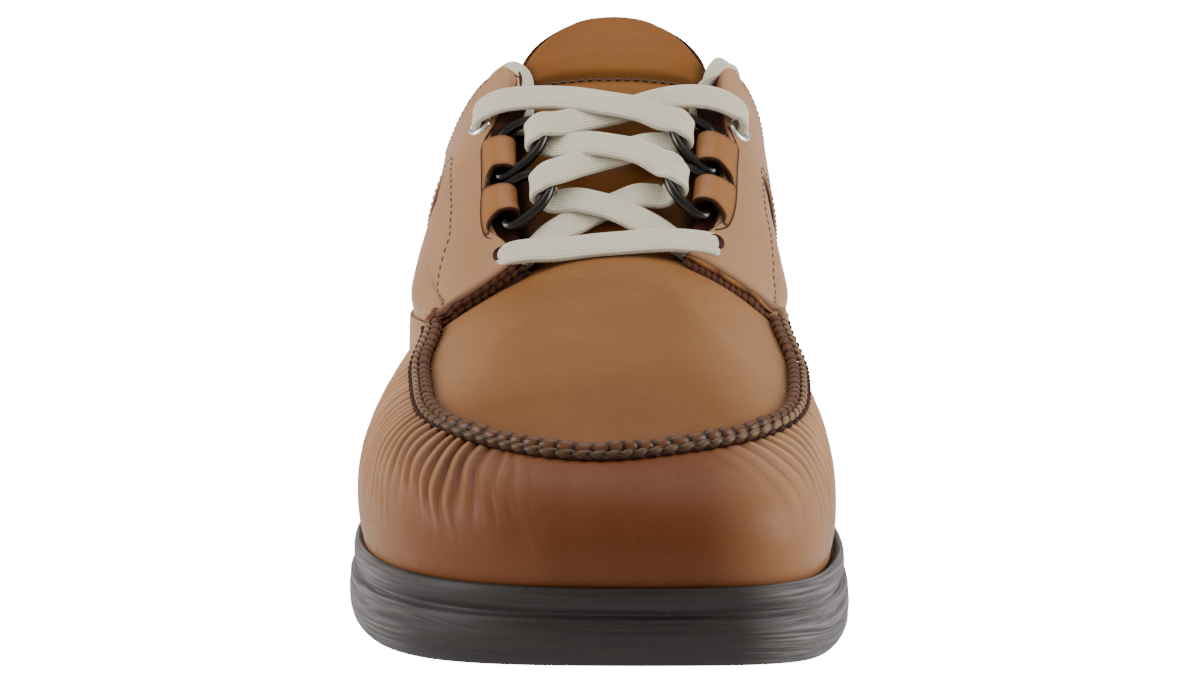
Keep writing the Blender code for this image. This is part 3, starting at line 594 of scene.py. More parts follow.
def math_node(tree, operation, first, second=0.0, third=0.0):
    return add_node(tree, "Math", {0: first, 1: second, 2: third}, operation=operation).outputs[0]


def mix_colour(tree, share, first, second):
    """The first colour where share is 0, the second where it is 1."""
    made = add_node(tree, "Mix", data_type="RGBA")
    for number, value in ((0, share), (6, first), (7, second)):
        set_input(tree, made.inputs[number], (*value, 1) if isinstance(value, tuple) else value)
    return made.outputs[2]


def between(tree, value, low, high):
    """0 where value is under low, 1 over high, and smooth between."""
    made = add_node(tree, "MapRange", {"Value": value, "From Min": low, "From Max": high})
    made.interpolation_type = "SMOOTHSTEP"
    return made.outputs[0]


def new_group(name, inputs, outputs):
    """A node group with these sockets, and its input and output nodes."""
    group = bpy.data.node_groups.new(name, "ShaderNodeTree")
    for label, kind, value in inputs:
        socket = group.interface.new_socket(label, in_out="INPUT", socket_type=kind)
        if kind == "NodeSocketFloat":
            socket.default_value = value
    for label, kind in outputs:
        group.interface.new_socket(label, in_out="OUTPUT", socket_type=kind)
    return group, group.nodes.new("NodeGroupInput"), group.nodes.new("NodeGroupOutput")


def use_group(tree, group, links):
    made = tree.nodes.new("ShaderNodeGroup")
    made.node_tree = group
    for name, value in links.items():
        set_input(tree, made.inputs[name], value)
    return made


def leather_grain_group():
    """Pores, fine wrinkles and slow waves, as one height."""
    group, given, result = new_group(
        "leather_grain",
        [("Vector", "NodeSocketVector", None), ("Pore Scale", "NodeSocketFloat", 1400.0)],
        [("Height", "NodeSocketFloat")],
    )
    place_of, scale = given.outputs["Vector"], given.outputs["Pore Scale"]
    pores = add_node(group, "TexVoronoi", {"Vector": place_of, "Scale": scale}, feature="SMOOTH_F1")
    wrinkles = add_node(
        group, "TexNoise",
        {"Vector": place_of, "Scale": math_node(group, "MULTIPLY", scale, 0.3), "Detail": 5.0},
    )
    waves = add_node(group, "TexNoise", {"Vector": place_of, "Scale": 60.0, "Detail": 3.0})
    height = math_node(group, "MULTIPLY", pores.outputs["Distance"], 0.45)
    height = math_node(group, "MULTIPLY_ADD", wrinkles.outputs["Fac"], 0.6, height)
    height = math_node(group, "MULTIPLY_ADD", waves.outputs["Fac"], 0.8, height)
    group.links.new(height, result.inputs["Height"])
    return group


def polish_clouds_group():
    """Slow clouds of polish, and finer mottling inside them."""
    group, given, result = new_group(
        "polish_clouds",
        [("Vector", "NodeSocketVector", None), ("Scale", "NodeSocketFloat", 30.0)],
        [("Clouds", "NodeSocketFloat"), ("Mottle", "NodeSocketFloat")],
    )
    place_of, scale = given.outputs["Vector"], given.outputs["Scale"]
    big = add_node(
        group, "TexNoise", {"Vector": place_of, "Scale": scale, "Detail": 3.0, "Distortion": 0.6}
    )
    small = add_node(
        group, "TexNoise",
        {"Vector": place_of, "Scale": math_node(group, "MULTIPLY", scale, 14), "Detail": 6.0},
    )
    group.links.new(between(group, big.outputs["Fac"], 0.32, 0.68), result.inputs["Clouds"])
    group.links.new(between(group, small.outputs["Fac"], 0.35, 0.65), result.inputs["Mottle"])
    return group


LEATHER_GRAIN = leather_grain_group()
POLISH_CLOUDS = polish_clouds_group()
print("node groups:", [group.name for group in bpy.data.node_groups])

# %% [markdown]
# ## Finishes
# The upper is smooth tan leather, rosy on its sides and burnished to a red brown at the toe. The
# dark toe is partly real burnish and partly painted shade on the toe's front, which gets less light.
# It is a mask from the place on the shoe, so it stays put on the model. Cut edges and the toe seam
# are darker. `crease` and `crest` are values stored on a mesh's points: one paints shade into folds,
# holes and gaps, the other paints a highlight on the ridges of the pleats.


# %% Leather finishes
def new_material(name, roughness, metallic=0.0):
    """A material, with its node tree and its shader."""
    made = bpy.data.materials.new(name)
    made.use_nodes = True
    shader = made.node_tree.nodes["Principled BSDF"]
    shader.inputs["Roughness"].default_value = roughness
    shader.inputs["Metallic"].default_value = metallic
    return made, made.node_tree, shader


def object_place(tree):
    return add_node(tree, "TexCoord").outputs["Object"]


def crease_value(tree, name="crease"):
    return add_node(tree, "Attribute", attribute_name=name).outputs["Fac"]


def add_bump(tree, shader, height, strength, distance):
    bump = add_node(
        tree, "Bump", {"Height": height, "Strength": strength, "Distance": distance * MM}
    )
    tree.links.new(bump.outputs["Normal"], shader.inputs["Normal"])


# Bands in metres, each from where an effect is still nothing to where it is whole.
LOW_BAND, SIDE_BAND = (0.050, 0.027), (0.014, 0.038)  # heights, and distances across
TOE_BAND, TOE_SIDES = (-0.070, -0.112), (0.054, 0.026)  # places along, and distances across
TOE_ASIDE = 0.006  # the burnish and its painted shade lie this far to the lateral side
SOLE_SHADE = (0.72, 0.63, 0.52)  # painted shade: what is left of each colour close above the sole
MOTTLE_SHADE, CREST_SHINE = 0.82, 1.75
SIDE_TAN = (0.37, 0.20, 0.105)


def leather(
    name, light, deep, burnish_and_shade, fold, roughness=0.46, toe=1.0, grain=0.35, coat=0.02, paler=0.0
):
    """Tan leather, in light and deep clouds. burnish is its colour at the toe, partly real burnish and
    partly painted shade on the toe's front, and toe how much of it there is; fold is the painted shade
    in creases, holes and gaps; paler is how much of the side's tan it takes on. Where the crest value
    is high, a lighter colour is painted on as a highlight."""
    made, tree, shader = new_material(name, roughness)
    where = object_place(tree)
    clouds = use_group(tree, POLISH_CLOUDS, {"Vector": where, "Scale": 26.0})
    colour = mix_colour(tree, clouds.outputs["Clouds"], light, deep)
    spot = add_node(tree, "SeparateXYZ", {"Vector": where})
    dark = tuple(MOTTLE_SHADE * channel for channel in light)
    mottle = math_node(tree, "MULTIPLY", clouds.outputs["Mottle"], 0.25)
    colour = mix_colour(tree, mottle, colour, dark)
    # Painted shade, darker close above the sole.
    low = between(tree, spot.outputs["Z"], *LOW_BAND)
    shade = tuple(left * channel for left, channel in zip(SOLE_SHADE, light))
    colour = mix_colour(tree, low, colour, shade)
    if paler:
        outer = between(tree, math_node(tree, "ABSOLUTE", spot.outputs["X"]), *SIDE_BAND)
        colour = mix_colour(tree, math_node(tree, "MULTIPLY", outer, paler), colour, SIDE_TAN)
    # The toe's colour: real burnish, and painted shade on the toe's front.
    front = between(tree, spot.outputs["Y"], *TOE_BAND)
    across = math_node(tree, "ABSOLUTE", math_node(tree, "ADD", spot.outputs["X"], TOE_ASIDE))
    side_fade = between(tree, across, *TOE_SIDES)
    front = math_node(tree, "MULTIPLY", front, side_fade)
    cloudy = math_node(tree, "MULTIPLY_ADD", clouds.outputs["Clouds"], 0.18, 0.82)
    front = math_node(tree, "MULTIPLY", math_node(tree, "MULTIPLY", front, cloudy), toe)
    colour = mix_colour(tree, front, colour, burnish_and_shade)
    # Painted shade in creases, holes and gaps, where the crease value is high.
    colour = mix_colour(tree, crease_value(tree), colour, fold)
    # Painted highlight on the pleats' ridges, where the crest value is high.
    crest_highlight = tuple(min(CREST_SHINE * channel, 1) for channel in light)
    colour = mix_colour(tree, crease_value(tree, "crest"), colour, crest_highlight)
    tree.links.new(colour, shader.inputs["Base Color"])
    grain_height = use_group(tree, LEATHER_GRAIN, {"Vector": where, "Pore Scale": 1500.0})
    add_bump(tree, shader, grain_height.outputs["Height"], grain, 0.12)
    rough = math_node(tree, "MULTIPLY_ADD", clouds.outputs["Mottle"], 0.1, roughness - 0.05)
    tree.links.new(rough, shader.inputs["Roughness"])
    shader.inputs["Coat Weight"].default_value = coat
    shader.inputs["Coat Roughness"].default_value = 0.3
    shader.inputs["Specular IOR Level"].default_value = 0.1
    return made


TAN = leather(
    "tan_leather", (0.37, 0.20, 0.102), (0.32, 0.163, 0.079), (0.115, 0.033, 0.010),
    (0.055, 0.019, 0.009),
)
PLUG_TAN = leather(
    "plug_leather", (0.225, 0.098, 0.031), (0.185, 0.074, 0.020), (0.15, 0.055, 0.013),
    (0.05, 0.017, 0.008), paler=0.4,
)
TONGUE_TAN = leather(
    "tongue_leather", (0.215, 0.083, 0.014), (0.175, 0.058, 0.011), (0.2, 0.06, 0.02),
    (0.016, 0.007, 0.005), roughness=0.5, toe=0.0,
)
SEAM_TAN = leather(
    "seam_leather", (0.12, 0.044, 0.020), (0.09, 0.030, 0.014), (0.115, 0.045, 0.018),
    (0.008, 0.004, 0.003), roughness=0.36, coat=0.15,
)
BEAD_TAN = leather(
    "bead_leather", (0.27, 0.155, 0.080), (0.19, 0.10, 0.045), (0.075, 0.040, 0.018),
    (0.008, 0.005, 0.003), roughness=0.4, coat=0.1,
)
CUT_EDGE = leather(
    "cut_edge", (0.13, 0.045, 0.022), (0.085, 0.028, 0.014), (0.1, 0.03, 0.015), (0.02, 0.008, 0.006),
    roughness=0.5, toe=0.0, grain=0.7,
)
LINING = leather(
    "lining_leather", (0.13, 0.05, 0.022), (0.10, 0.036, 0.016), (0.1, 0.04, 0.02), (0.03, 0.012, 0.008),
    roughness=0.6, toe=0.0,
)
# Near black: dark thread, and painted shade in the slots, the bottom holes and the gaps.
SHADE_AND_THREAD_DARK = leather(
    "slot_leather", (0.055, 0.017, 0.009), (0.035, 0.010, 0.006), (0.05, 0.015, 0.01), (0.01, 0.005, 0.004),
    roughness=0.6, toe=0.0, grain=0.7,
)
# The facing's tan made darker and more orange: painted shade where the tabs roll away from the light.
ROLL_TAN = leather(
    "tab_leather", (0.31, 0.135, 0.045), (0.26, 0.105, 0.034), (0.3, 0.1, 0.04), (0.05, 0.018, 0.01),
    roughness=0.40, toe=0.0, coat=0.1,
)
print("leathers:", [m.name for m in bpy.data.materials if "leather" in m.name])


# %% Thread, lace, metal and rubber
def thread_material():
    """Dark waxed thread."""
    made, tree, shader = new_material("waxed_thread", 0.45)
    twist = add_node(tree, "TexNoise", {"Vector": object_place(tree), "Scale": 900.0})
    colour = mix_colour(tree, twist.outputs["Fac"], (0.03, 0.014, 0.009), (0.085, 0.042, 0.025))
    tree.links.new(colour, shader.inputs["Base Color"])
    return made


def lace_material():
    """Flat cotton: fine V-shaped stitches in lengthwise columns, read from the tape's own map."""
    made, tree, shader = new_material("lace_cotton", 0.92)
    where = add_node(tree, "TexCoord").outputs["UV"]
    spot = add_node(tree, "SeparateXYZ", {"Vector": where})
    column = math_node(tree, "PINGPONG", spot.outputs["Y"], 0.42)
    lean = math_node(tree, "MULTIPLY_ADD", column, 1.4, spot.outputs["X"])
    stitch = math_node(tree, "SINE", math_node(tree, "MULTIPLY", lean, 8.4))
    fuzz = add_node(tree, "TexNoise", {"Vector": object_place(tree), "Scale": 2600.0, "Detail": 3.0})
    height = math_node(tree, "MULTIPLY_ADD", stitch, 0.3, math_node(tree, "MULTIPLY", column, 1.3))
    height = math_node(tree, "MULTIPLY_ADD", fuzz.outputs["Fac"], 0.8, height)
    soil = add_node(tree, "TexNoise", {"Vector": object_place(tree), "Scale": 90.0, "Detail": 4.0})
    colour = mix_colour(tree, soil.outputs["Fac"], (0.64, 0.575, 0.42), (0.75, 0.69, 0.53))
    # Painted shade in the grooves between the knitted columns.
    ribs = math_node(tree, "MULTIPLY_ADD", column, -1.1, 0.5)
    colour = mix_colour(tree, ribs, colour, (0.36, 0.31, 0.21))
    colour = mix_colour(tree, crease_value(tree), colour, (0.3, 0.26, 0.2))
    tree.links.new(colour, shader.inputs["Base Color"])
    add_bump(tree, shader, height, 0.8, 0.22)
    shader.inputs["Sheen Weight"].default_value = 0.25
    return made


def metal_material(name, colour, roughness):
    """Handled metal: smears change its colour and its roughness a little."""
    made, tree, shader = new_material(name, roughness, 1.0)
    smear = add_node(tree, "TexNoise", {"Vector": object_place(tree), "Scale": 350.0, "Detail": 4.0})
    worn = tuple(min(1.5 * channel, 1) for channel in colour)
    tree.links.new(mix_colour(tree, smear.outputs["Fac"], colour, worn), shader.inputs["Base Color"])
    rough = math_node(tree, "MULTIPLY_ADD", smear.outputs["Fac"], 0.16, roughness - 0.08)
    tree.links.new(rough, shader.inputs["Roughness"])
    return made


def rubber_material():
    """Dark rubber with long streaks round the wall, read from the wall's own map, and lighter on the toe's
    sides: a painted highlight.
    """
    made, tree, shader = new_material("sole_rubber", 0.42)
    where = add_node(tree, "TexCoord").outputs["UV"]
    stretch = add_node(tree, "Mapping", {"Vector": where, "Scale": (0.035, 1.5, 1)})
    streaks = add_node(
        tree, "TexNoise",
        {"Vector": stretch.outputs[0], "Scale": 1.0, "Detail": 6.0, "Roughness": 0.65},
    )
    fine = add_node(tree, "TexNoise", {"Vector": object_place(tree), "Scale": 700.0, "Detail": 3.0})
    tone = between(tree, streaks.outputs["Fac"], 0.35, 0.7)
    # Painted highlight: the sides of the toe are lighter.
    spot = add_node(tree, "SeparateXYZ", {"Vector": object_place(tree)})
    across = math_node(tree, "ABSOLUTE", math_node(tree, "ADD", spot.outputs["X"], 0.004))
    side = between(tree, across, 0.033, 0.050)
    side = math_node(tree, "MULTIPLY", side, between(tree, spot.outputs["Y"], 0.02, -0.06))
    colour = mix_colour(tree, tone, (0.011, 0.008, 0.007), (0.022, 0.017, 0.015))
    painted_toe_light = mix_colour(tree, tone, (0.024, 0.020, 0.018), (0.19, 0.175, 0.17))
    colour = mix_colour(tree, side, colour, painted_toe_light)
    tree.links.new(colour, shader.inputs["Base Color"])
    height = math_node(tree, "MULTIPLY_ADD", fine.outputs["Fac"], 0.25, streaks.outputs["Fac"])
    add_bump(tree, shader, height, 0.35, 0.35)
    shader.inputs["Specular IOR Level"].default_value = 0.3
    rough = math_node(tree, "MULTIPLY_ADD", tone, 0.1, 0.5)
    tree.links.new(rough, shader.inputs["Roughness"])
    return made


THREAD = thread_material()
COTTON = lace_material()
GUNMETAL = metal_material("dark_metal", (0.035, 0.032, 0.029), 0.24)
SILVER = metal_material("silver_metal", (0.62, 0.62, 0.60), 0.22)
RUBBER = rubber_material()
FLOOR_GREY, FLOOR_GLOW = 0.62, 0.45
floor_finish, floor_tree, floor_shader = new_material("studio_floor", 0.9)
floor_shader.inputs["Base Color"].default_value = (FLOOR_GREY, FLOOR_GREY, FLOOR_GREY, 1)
floor_seen = add_node(floor_tree, "LightPath").outputs["Is Camera Ray"]
floor_glow = math_node(floor_tree, "MULTIPLY_ADD", floor_seen, SKY_SEEN, FLOOR_GLOW)
floor_shader.inputs["Emission Color"].default_value = (1, 1, 1, 1)
floor_tree.links.new(floor_glow, floor_shader.inputs["Emission Strength"])
floor_mesh.materials.append(floor_finish)
print("finishes:", len(bpy.data.materials))

# %% [markdown]
# ## The wall of the upper
# One leather wall runs round the shoe from the sole to the toe seam. Where it is gathered into
# the seam it lies in pleats: rounded ridges with sharp valleys, close together at the sides and
# almost gone at the middle of the toe. They are made here by moving the grid's points along the
# surface's normal, which shapes the mesh itself, unlike a bump.

# %% Pleats
WALL_THICK = 1.8
WALL_TUCK = 1.0  # how far the wall's foot goes down behind the sole's rim
WALL_ROWS = 44
front_stations = np.linspace(0, JOIN, 400)
rear_stations = np.linspace(JOIN, HEEL, 72)[1:]
wall_stations = np.concatenate([front_stations, rear_stations])


def seam_run(side, station):
    """Distance along the toe seam from its middle, in millimetres."""
    return np.interp(station, STATIONS, run_length(LINES["seam"][side]))


def pleat_rows(first, last, gap_front, gap_side, seed):
    """Where each pleat starts along the seam, with its width, its depth and its length."""
    chance = np.random.default_rng(seed)
    rows, spot = [], first
    while spot < last:
        way = (spot - first) / (last - first)
        gap = (gap_front + (gap_side - gap_front) * way) * chance.uniform(0.82, 1.2)
        strong = np.sin(np.pi * np.clip(way * 0.88 + 0.1, 0, 1)) ** 0.4
        strong *= 0.2 + 0.8 * ease(way / 0.22)
        rows.append((spot, gap, chance.uniform(0.55, 1.0) * strong, chance.uniform(0.42, 0.72)))
        spot += gap
    return rows


PLEATS = {
    LATERAL: pleat_rows(first=14, last=112, gap_front=3.3, gap_side=2.3, seed=4),
    MEDIAL: pleat_rows(first=24, last=88, gap_front=3.5, gap_side=2.5, seed=9),
}
PLEAT_DEPTH = {LATERAL: 2.5, MEDIAL: 1.6}
PLEAT_LEAN = {LATERAL: 5.0, MEDIAL: 3.0}  # how far a pleat drifts back on its way down
print("pleats:", {side_name: len(PLEATS[side]) for side_name, side in SIDES})


def pleat_field(side, run, share):
    """Height of the pleats at a distance along the seam and a share of the wall, with crease, the painted
    shade in their valleys, and crest, the painted highlight on their ridges.
    """
    height, crease, crest = np.zeros_like(run), np.zeros_like(run), np.zeros_like(run)
    down = 1 - share
    run = run - PLEAT_LEAN[side] * down**1.4 * ease(run / 40) + 0.25 * np.sin(14 * down + run / 3)
    for spot, gap, depth, length in PLEATS[side]:
        way = (run - spot) / gap
        inside = (way >= 0) & (way < 1)
        way = np.where(inside, way, 0)
        fade = (1 - ease((down - 0.12) / length)) * ease((down + 0.02) / 0.06)
        fold = np.sin(np.pi * way**1.55) ** 0.85
        height += inside * (fold - 0.6) * fade * depth * (0.62 + 0.12 * gap)
        # Painted shade in each pleat's valleys, and a painted highlight on its ridge.
        valley = np.exp(-(((way - 1) / 0.2) ** 2)) + 0.9 * np.exp(-((way / 0.13) ** 2))
        crease += inside * valley * fade * depth * 1.5
        crest += inside * np.exp(-(((way - 0.55) / 0.12) ** 2)) * fade * depth * 0.5
    return height * PLEAT_DEPTH[side], np.clip(crease, 0, 1), np.clip(crest, 0, 1)


def both_sides(surface_of_side):
    """Columns from the lateral heel round the toe to the medial heel."""
    lateral, medial = surface_of_side(LATERAL), surface_of_side(MEDIAL)
    return np.concatenate([lateral[::-1], medial[1:-1]])


def grid_normals(points, closed):
    """The normals of a grid of points, all on the same side."""
    if closed:
        along = np.roll(points, -1, axis=0) - np.roll(points, 1, axis=0)
    else:
        along = np.gradient(points, axis=0)
    return unit(np.cross(np.gradient(points, axis=1), along))


# %% Wall of the upper
shares_up = np.linspace(0, 1, WALL_ROWS)
wall_points = both_sides(lambda side: wall(side, wall_stations[:, None], shares_up[None]))
wall_normals = grid_normals(wall_points, True)
if (wall_normals[len(wall_stations), 20] * [0, -1, 0]).sum() < 0:
    wall_normals = -wall_normals


def pleats_of(side):
    runs, shares = np.broadcast_arrays(seam_run(side, wall_stations)[:, None], shares_up)
    return np.stack(pleat_field(side, runs, shares), axis=-1)


pleats = both_sides(pleats_of)
wall_outer = wall_points + wall_normals * pleats[..., :1]
wall_inner = wall_points - wall_normals * WALL_THICK
wall_outer[:, 0, 2] -= WALL_TUCK
wall_inner[:, 0, 2] = wall_outer[:, 0, 2]
make_sheet(
    "upper_wall", wall_outer, wall_inner, [TAN, LINING], ["upper"], closed=True,
    crease=pleats[..., 1], crest=pleats[..., 2],
)

# %% [markdown]
# ## The plug
# The plug is the smooth leather on top of the toe. It is domed, and its edge is drawn down by the
# seam's stitches in small puckers.

# %% Plug
PUCKER_PITCH, PUCKER_HIGH = 3.3, 0.35
PUCKER_INSET, PUCKER_WIDE = 2.6, 1.6  # from the seam, and along this distance
plug_columns = np.linspace(0, JOIN, 110)
plug_shares = np.sin(np.linspace(-np.pi / 2, np.pi / 2, 121))
plug_points = apron(plug_columns[:, None], plug_shares[None])
plug_normals = grid_normals(plug_points, False)
plug_normals *= np.sign(plug_normals[60, 60, 2])
edge_gap = np.minimum(
    np.linalg.norm(plug_points - plug_points[:, :1], axis=-1),
    np.linalg.norm(plug_points - plug_points[:, -1:], axis=-1),
)
lateral_run, medial_run = [seam_run(side, plug_columns)[:, None] for _, side in SIDES]
pucker_run = np.where(plug_shares[None] < 0, lateral_run, medial_run)
pucker = PUCKER_HIGH * (np.abs(np.sin(np.pi * pucker_run / PUCKER_PITCH)) - 0.6)
plug_lift = pucker * np.exp(-(((edge_gap - PUCKER_INSET) / PUCKER_WIDE) ** 2))
plug_lift -= 0.5 * np.exp(-edge_gap / 2.0)
# Painted shade along the plug's edge, beside the seam.
plug_crease = 0.75 * np.exp(-((edge_gap / 3.0) ** 2))
plug_outer = plug_points + plug_normals * plug_lift[..., None]
plug_inner = plug_points - plug_normals * WALL_THICK
make_sheet("upper_plug", plug_outer, plug_inner, [PLUG_TAN, LINING], ["upper"], crease=plug_crease)

# %% [markdown]
# ## Side panels and quarters
# The side panels carry the lining. A quarter lies over each of them: it holds the laces at the
# front, arches over the panel and runs to the back seam. A quarter is a shell whose outer face
# falls off towards its edges, so the cut edge looks rounded and pressed down by its stitches.

# %% Side panels
PANEL_LIFT = 1.2
PANEL_ROWS = 44
panel_stations = [np.linspace(JOIN, JOIN + 1, 14), np.linspace(JOIN + 1, HEEL, 110)[1:]]
panel_stations = np.concatenate(panel_stations)
panel_shares = np.linspace(0, 0.985, PANEL_ROWS)


def round_heel(surface_of_side):
    """Columns from the lateral front round the heel to the medial front."""
    lateral, medial = surface_of_side(LATERAL), surface_of_side(MEDIAL)
    return np.concatenate([lateral, medial[-2::-1]])


panel_points = round_heel(lambda side: quarter(side, panel_stations[:, None], panel_shares[None]))
panel_normals = grid_normals(panel_points, False)
panel_normals *= -np.sign(panel_normals[20, 20, 0])
station_of_column = np.concatenate([panel_stations, panel_stations[-2::-1]])
panel_lift = PANEL_LIFT * ease(panel_shares[None] / 0.16)
panel_lift = panel_lift * ease((station_of_column[:, None] - JOIN) / 1.2)
panel_outer = panel_points + panel_normals * panel_lift[..., None]
panel_inner = panel_points - panel_normals * WALL_THICK
no_crease = np.zeros(panel_points.shape[:2])
make_sheet("upper_panels", panel_outer, panel_inner, [TAN, LINING], ["upper"], crease=no_crease)


# %% Quarters
QUARTER_ROWS = 64
QUARTER_UNDER, QUARTER_OVER = 1.25, 2.3  # its inner and its outer face, above the lining's line
TABS = (("lower", 133.2, 140.9), ("upper", 147.5, 155.2))
# How far the facing's edge lies inwards of the solids' line: (place along, distance).
EDGE_REACH = {
    LATERAL: [
        (127.5, 0), (129.5, -0.5), (131.4, -1.6), (137, -0.6), (142, 0.1), (154.4, 0.2), (156.4, 1.2),
        (160, 2.6), (168, 2.6), (175, 2.6), (180, 1.0), (184, 0),
    ],
    MEDIAL: [
        (127.5, 0), (129.5, -0.6), (131.8, -1.7), (143, -2.0), (155, -2.2), (157, -1.0), (160, 0.2),
        (170, 1.2), (175, 2.2), (180, 1.0), (184, 0),
    ],
}
FRONT_LIFT = {LATERAL: 2.0, MEDIAL: 0.7}
FRONT_CUT = {LATERAL: (0.15, 0.4), MEDIAL: (0.14, 0.25)}  # stations off its front: evenly, at the top
quarter_stations = JOIN + np.concatenate([
    np.linspace(0, 0.3, 12), np.linspace(0.3, 4, 48)[1:], np.linspace(4, 9, 100)[1:],
    np.linspace(9, 20, 90)[1:],
])


def arch_share(side, station):
    """The share at which a quarter starts, above the panel's arch."""
    shares = np.linspace(0, 1, 401)
    line = quarter(side, station[:, None], shares[None])
    below = height_at(PANEL_ARCH, line[..., 1]) - line[..., 2] > 0
    below &= line[..., 1] < PANEL_ARCH[-1][0]
    last = np.where(below.any(axis=1), len(shares) - 1 - np.argmax(below[:, ::-1], axis=1), 0)
    low = np.maximum(shares[last], 0.03)
    start = ease((station - JOIN) / 0.5)
    return 0.06 * (1 - start) + low * start


def edge_reach(side, along):
    """How far the facing's edge lies inwards of the solids' line; less than 0 is cut back."""
    rows = np.array(EDGE_REACH[side])
    return np.interp(along, rows[:, 0], rows[:, 1])


def quarter_surface(side):
    """Outer and inner points of a quarter, and how much painted shade each gets along its edges."""
    low = arch_share(side, quarter_stations)
    line = quarter(side, quarter_stations[:, None], np.array([[0.8, 1.0]]))
    top_part = np.linalg.norm(line[:, 1] - line[:, 0], axis=-1)
    on_front = quarter_stations < JOIN + 9.5
    reach = edge_reach(side, read("top", side, quarter_stations)[:, 1])
    high = 1 + 0.2 * reach * on_front / top_part
    way = np.linspace(0, 1, QUARTER_ROWS)
    way = 0.5 * way + 0.25 * (1 - np.cos(np.pi * way))
    shares = low[:, None] + (high - low)[:, None] * way[None]
    evenly, at_top = FRONT_CUT[side]
    cut = evenly * ease(way / 0.25) + at_top * way**3
    stations = quarter_stations[:, None]
    stations = stations + cut[None] * np.exp(-(stations - JOIN) / 1.2)
    points = quarter(side, stations, shares)
    normals = quarter_normal(side, stations, shares)
    from_low = np.linalg.norm(points - points[:, :1], axis=-1)
    from_top = np.linalg.norm(points - points[:, -1:], axis=-1)
    from_front = np.linalg.norm(points - points[:1], axis=-1)
    height = QUARTER_OVER - 0.7 * np.exp(-from_low / 0.5) - 0.75 * np.exp(-from_top / 0.35)
    height += FRONT_LIFT[side] * np.exp(-from_front / 4.5) - 0.5 * np.exp(-from_front / 0.4)
    under = QUARTER_UNDER + FRONT_LIFT[side] * np.exp(-from_front / 4.5)
    # Painted shade along the low, top and front edges.
    crease = np.exp(-from_low / 0.5) + np.exp(-from_top / 0.3) + np.exp(-from_front / 0.5)
    outer = points + normals * np.maximum(height, under + 0.15)[..., None]
    return outer, points + normals * under[..., None], np.clip(0.9 * crease, 0, 1)


quarter_skin, front_edge = {}, {}
for side_name, side in SIDES:
    outer, inner, crease = quarter_surface(side)
    front_edge[side] = outer[0], unit(outer[1] - inner[1]), outer[1]
    if side == MEDIAL:
        outer, inner, crease = outer[::-1], inner[::-1], crease[::-1]
    name = f"quarter_{side_name}"
    make_sheet(f"{name}_leather", outer, inner, [TAN, CUT_EDGE], [name], crease=crease)
    quarter_skin[side] = outer

# %% [markdown]
# ## The toe seam
# Wall and plug meet in a raised seam. The plug's edge stands up as a lip that the thread gathers
# into segments. Outside it lies a row of small beads, and a dark thread runs on either side, which
# also paints the shadow lines beside the seam. Each is a swept bar whose radius swings with the
# distance along it: round segments with sharp creases between, with painted shade in the creases.
# Each end of the seam, below the bottom lace hole, is finished by a knot of leather.

# %% Toe seam
LIP_PITCH, BEAD_PITCH, INNER_PITCH = 3.8, 3.4, 2.4
# The three rounded lumps of a knot: across, along, up, and their width and height.
KNOT_LUMPS = ((-1.2, 0.5, 1.6, 1.9, 1.7), (0.9, 1.4, 1.5, 1.5, 2.3), (-0.2, 2.8, 2.6, 1.4, 1.9))


def bead_profile(run, pitch, phase, sharp=0.55):
    """1 in the middle of each segment, 0 in the creases between."""
    warp = 0.22 * np.sin(run / 9.3) + 0.13 * np.sin(run / 4.1 + 2)
    return np.abs(np.sin(np.pi * (run / pitch + warp + phase))) ** sharp


seam_columns = np.linspace(0, JOIN, 1400)
seam_path = [read("seam", LATERAL, seam_columns)[::-1], read("seam", MEDIAL, seam_columns)[1:]]
seam_path = even_points(np.concatenate(seam_path), 0.3)
seam_length = run_length(seam_path)
seam_heading = unit(np.gradient(seam_path[:, :2], axis=0))
seam_outward = np.column_stack([seam_heading[:, 1], -seam_heading[:, 0], np.zeros(len(seam_path))])
seam_outward *= -np.sign(seam_outward[0, 0])
TOE_MIDDLE = seam_length[-1] / 2


def seam_bar(
    name, across, up, radius, tall, pitch, phase, slant, finish, depth, sides=18, replaced=()
):
    """A beaded bar beside the seam. depth is how deep its creases are, slant how they lean."""
    across, up = np.asarray(across)[..., None], np.asarray(up)[..., None]
    path = seam_path + seam_outward * across + np.array([0, 0, 1]) * up
    turn = np.linspace(0, 2 * np.pi, sides, endpoint=False)
    bead = bead_profile(seam_length[:, None] + slant * np.cos(turn)[None], pitch, phase)
    size = 1 - depth + depth * bead
    radius = np.broadcast_to(radius, len(path))[:, None]
    tall = np.broadcast_to(tall, len(path))[:, None]
    section = np.stack([radius * size * np.cos(turn), tall * size * np.sin(turn)], axis=-1)
    # Painted shade in the creases between segments.
    crease = np.clip(1.6 * (1 - bead) ** 1.3, 0, 1)
    rings = swept_rings(path, seam_outward, section)
    make_bar(name, rings, finish, "tan_leather", replaced, crease=crease)


def waves(pitch):
    return np.sin(2 * np.pi * seam_length / pitch)


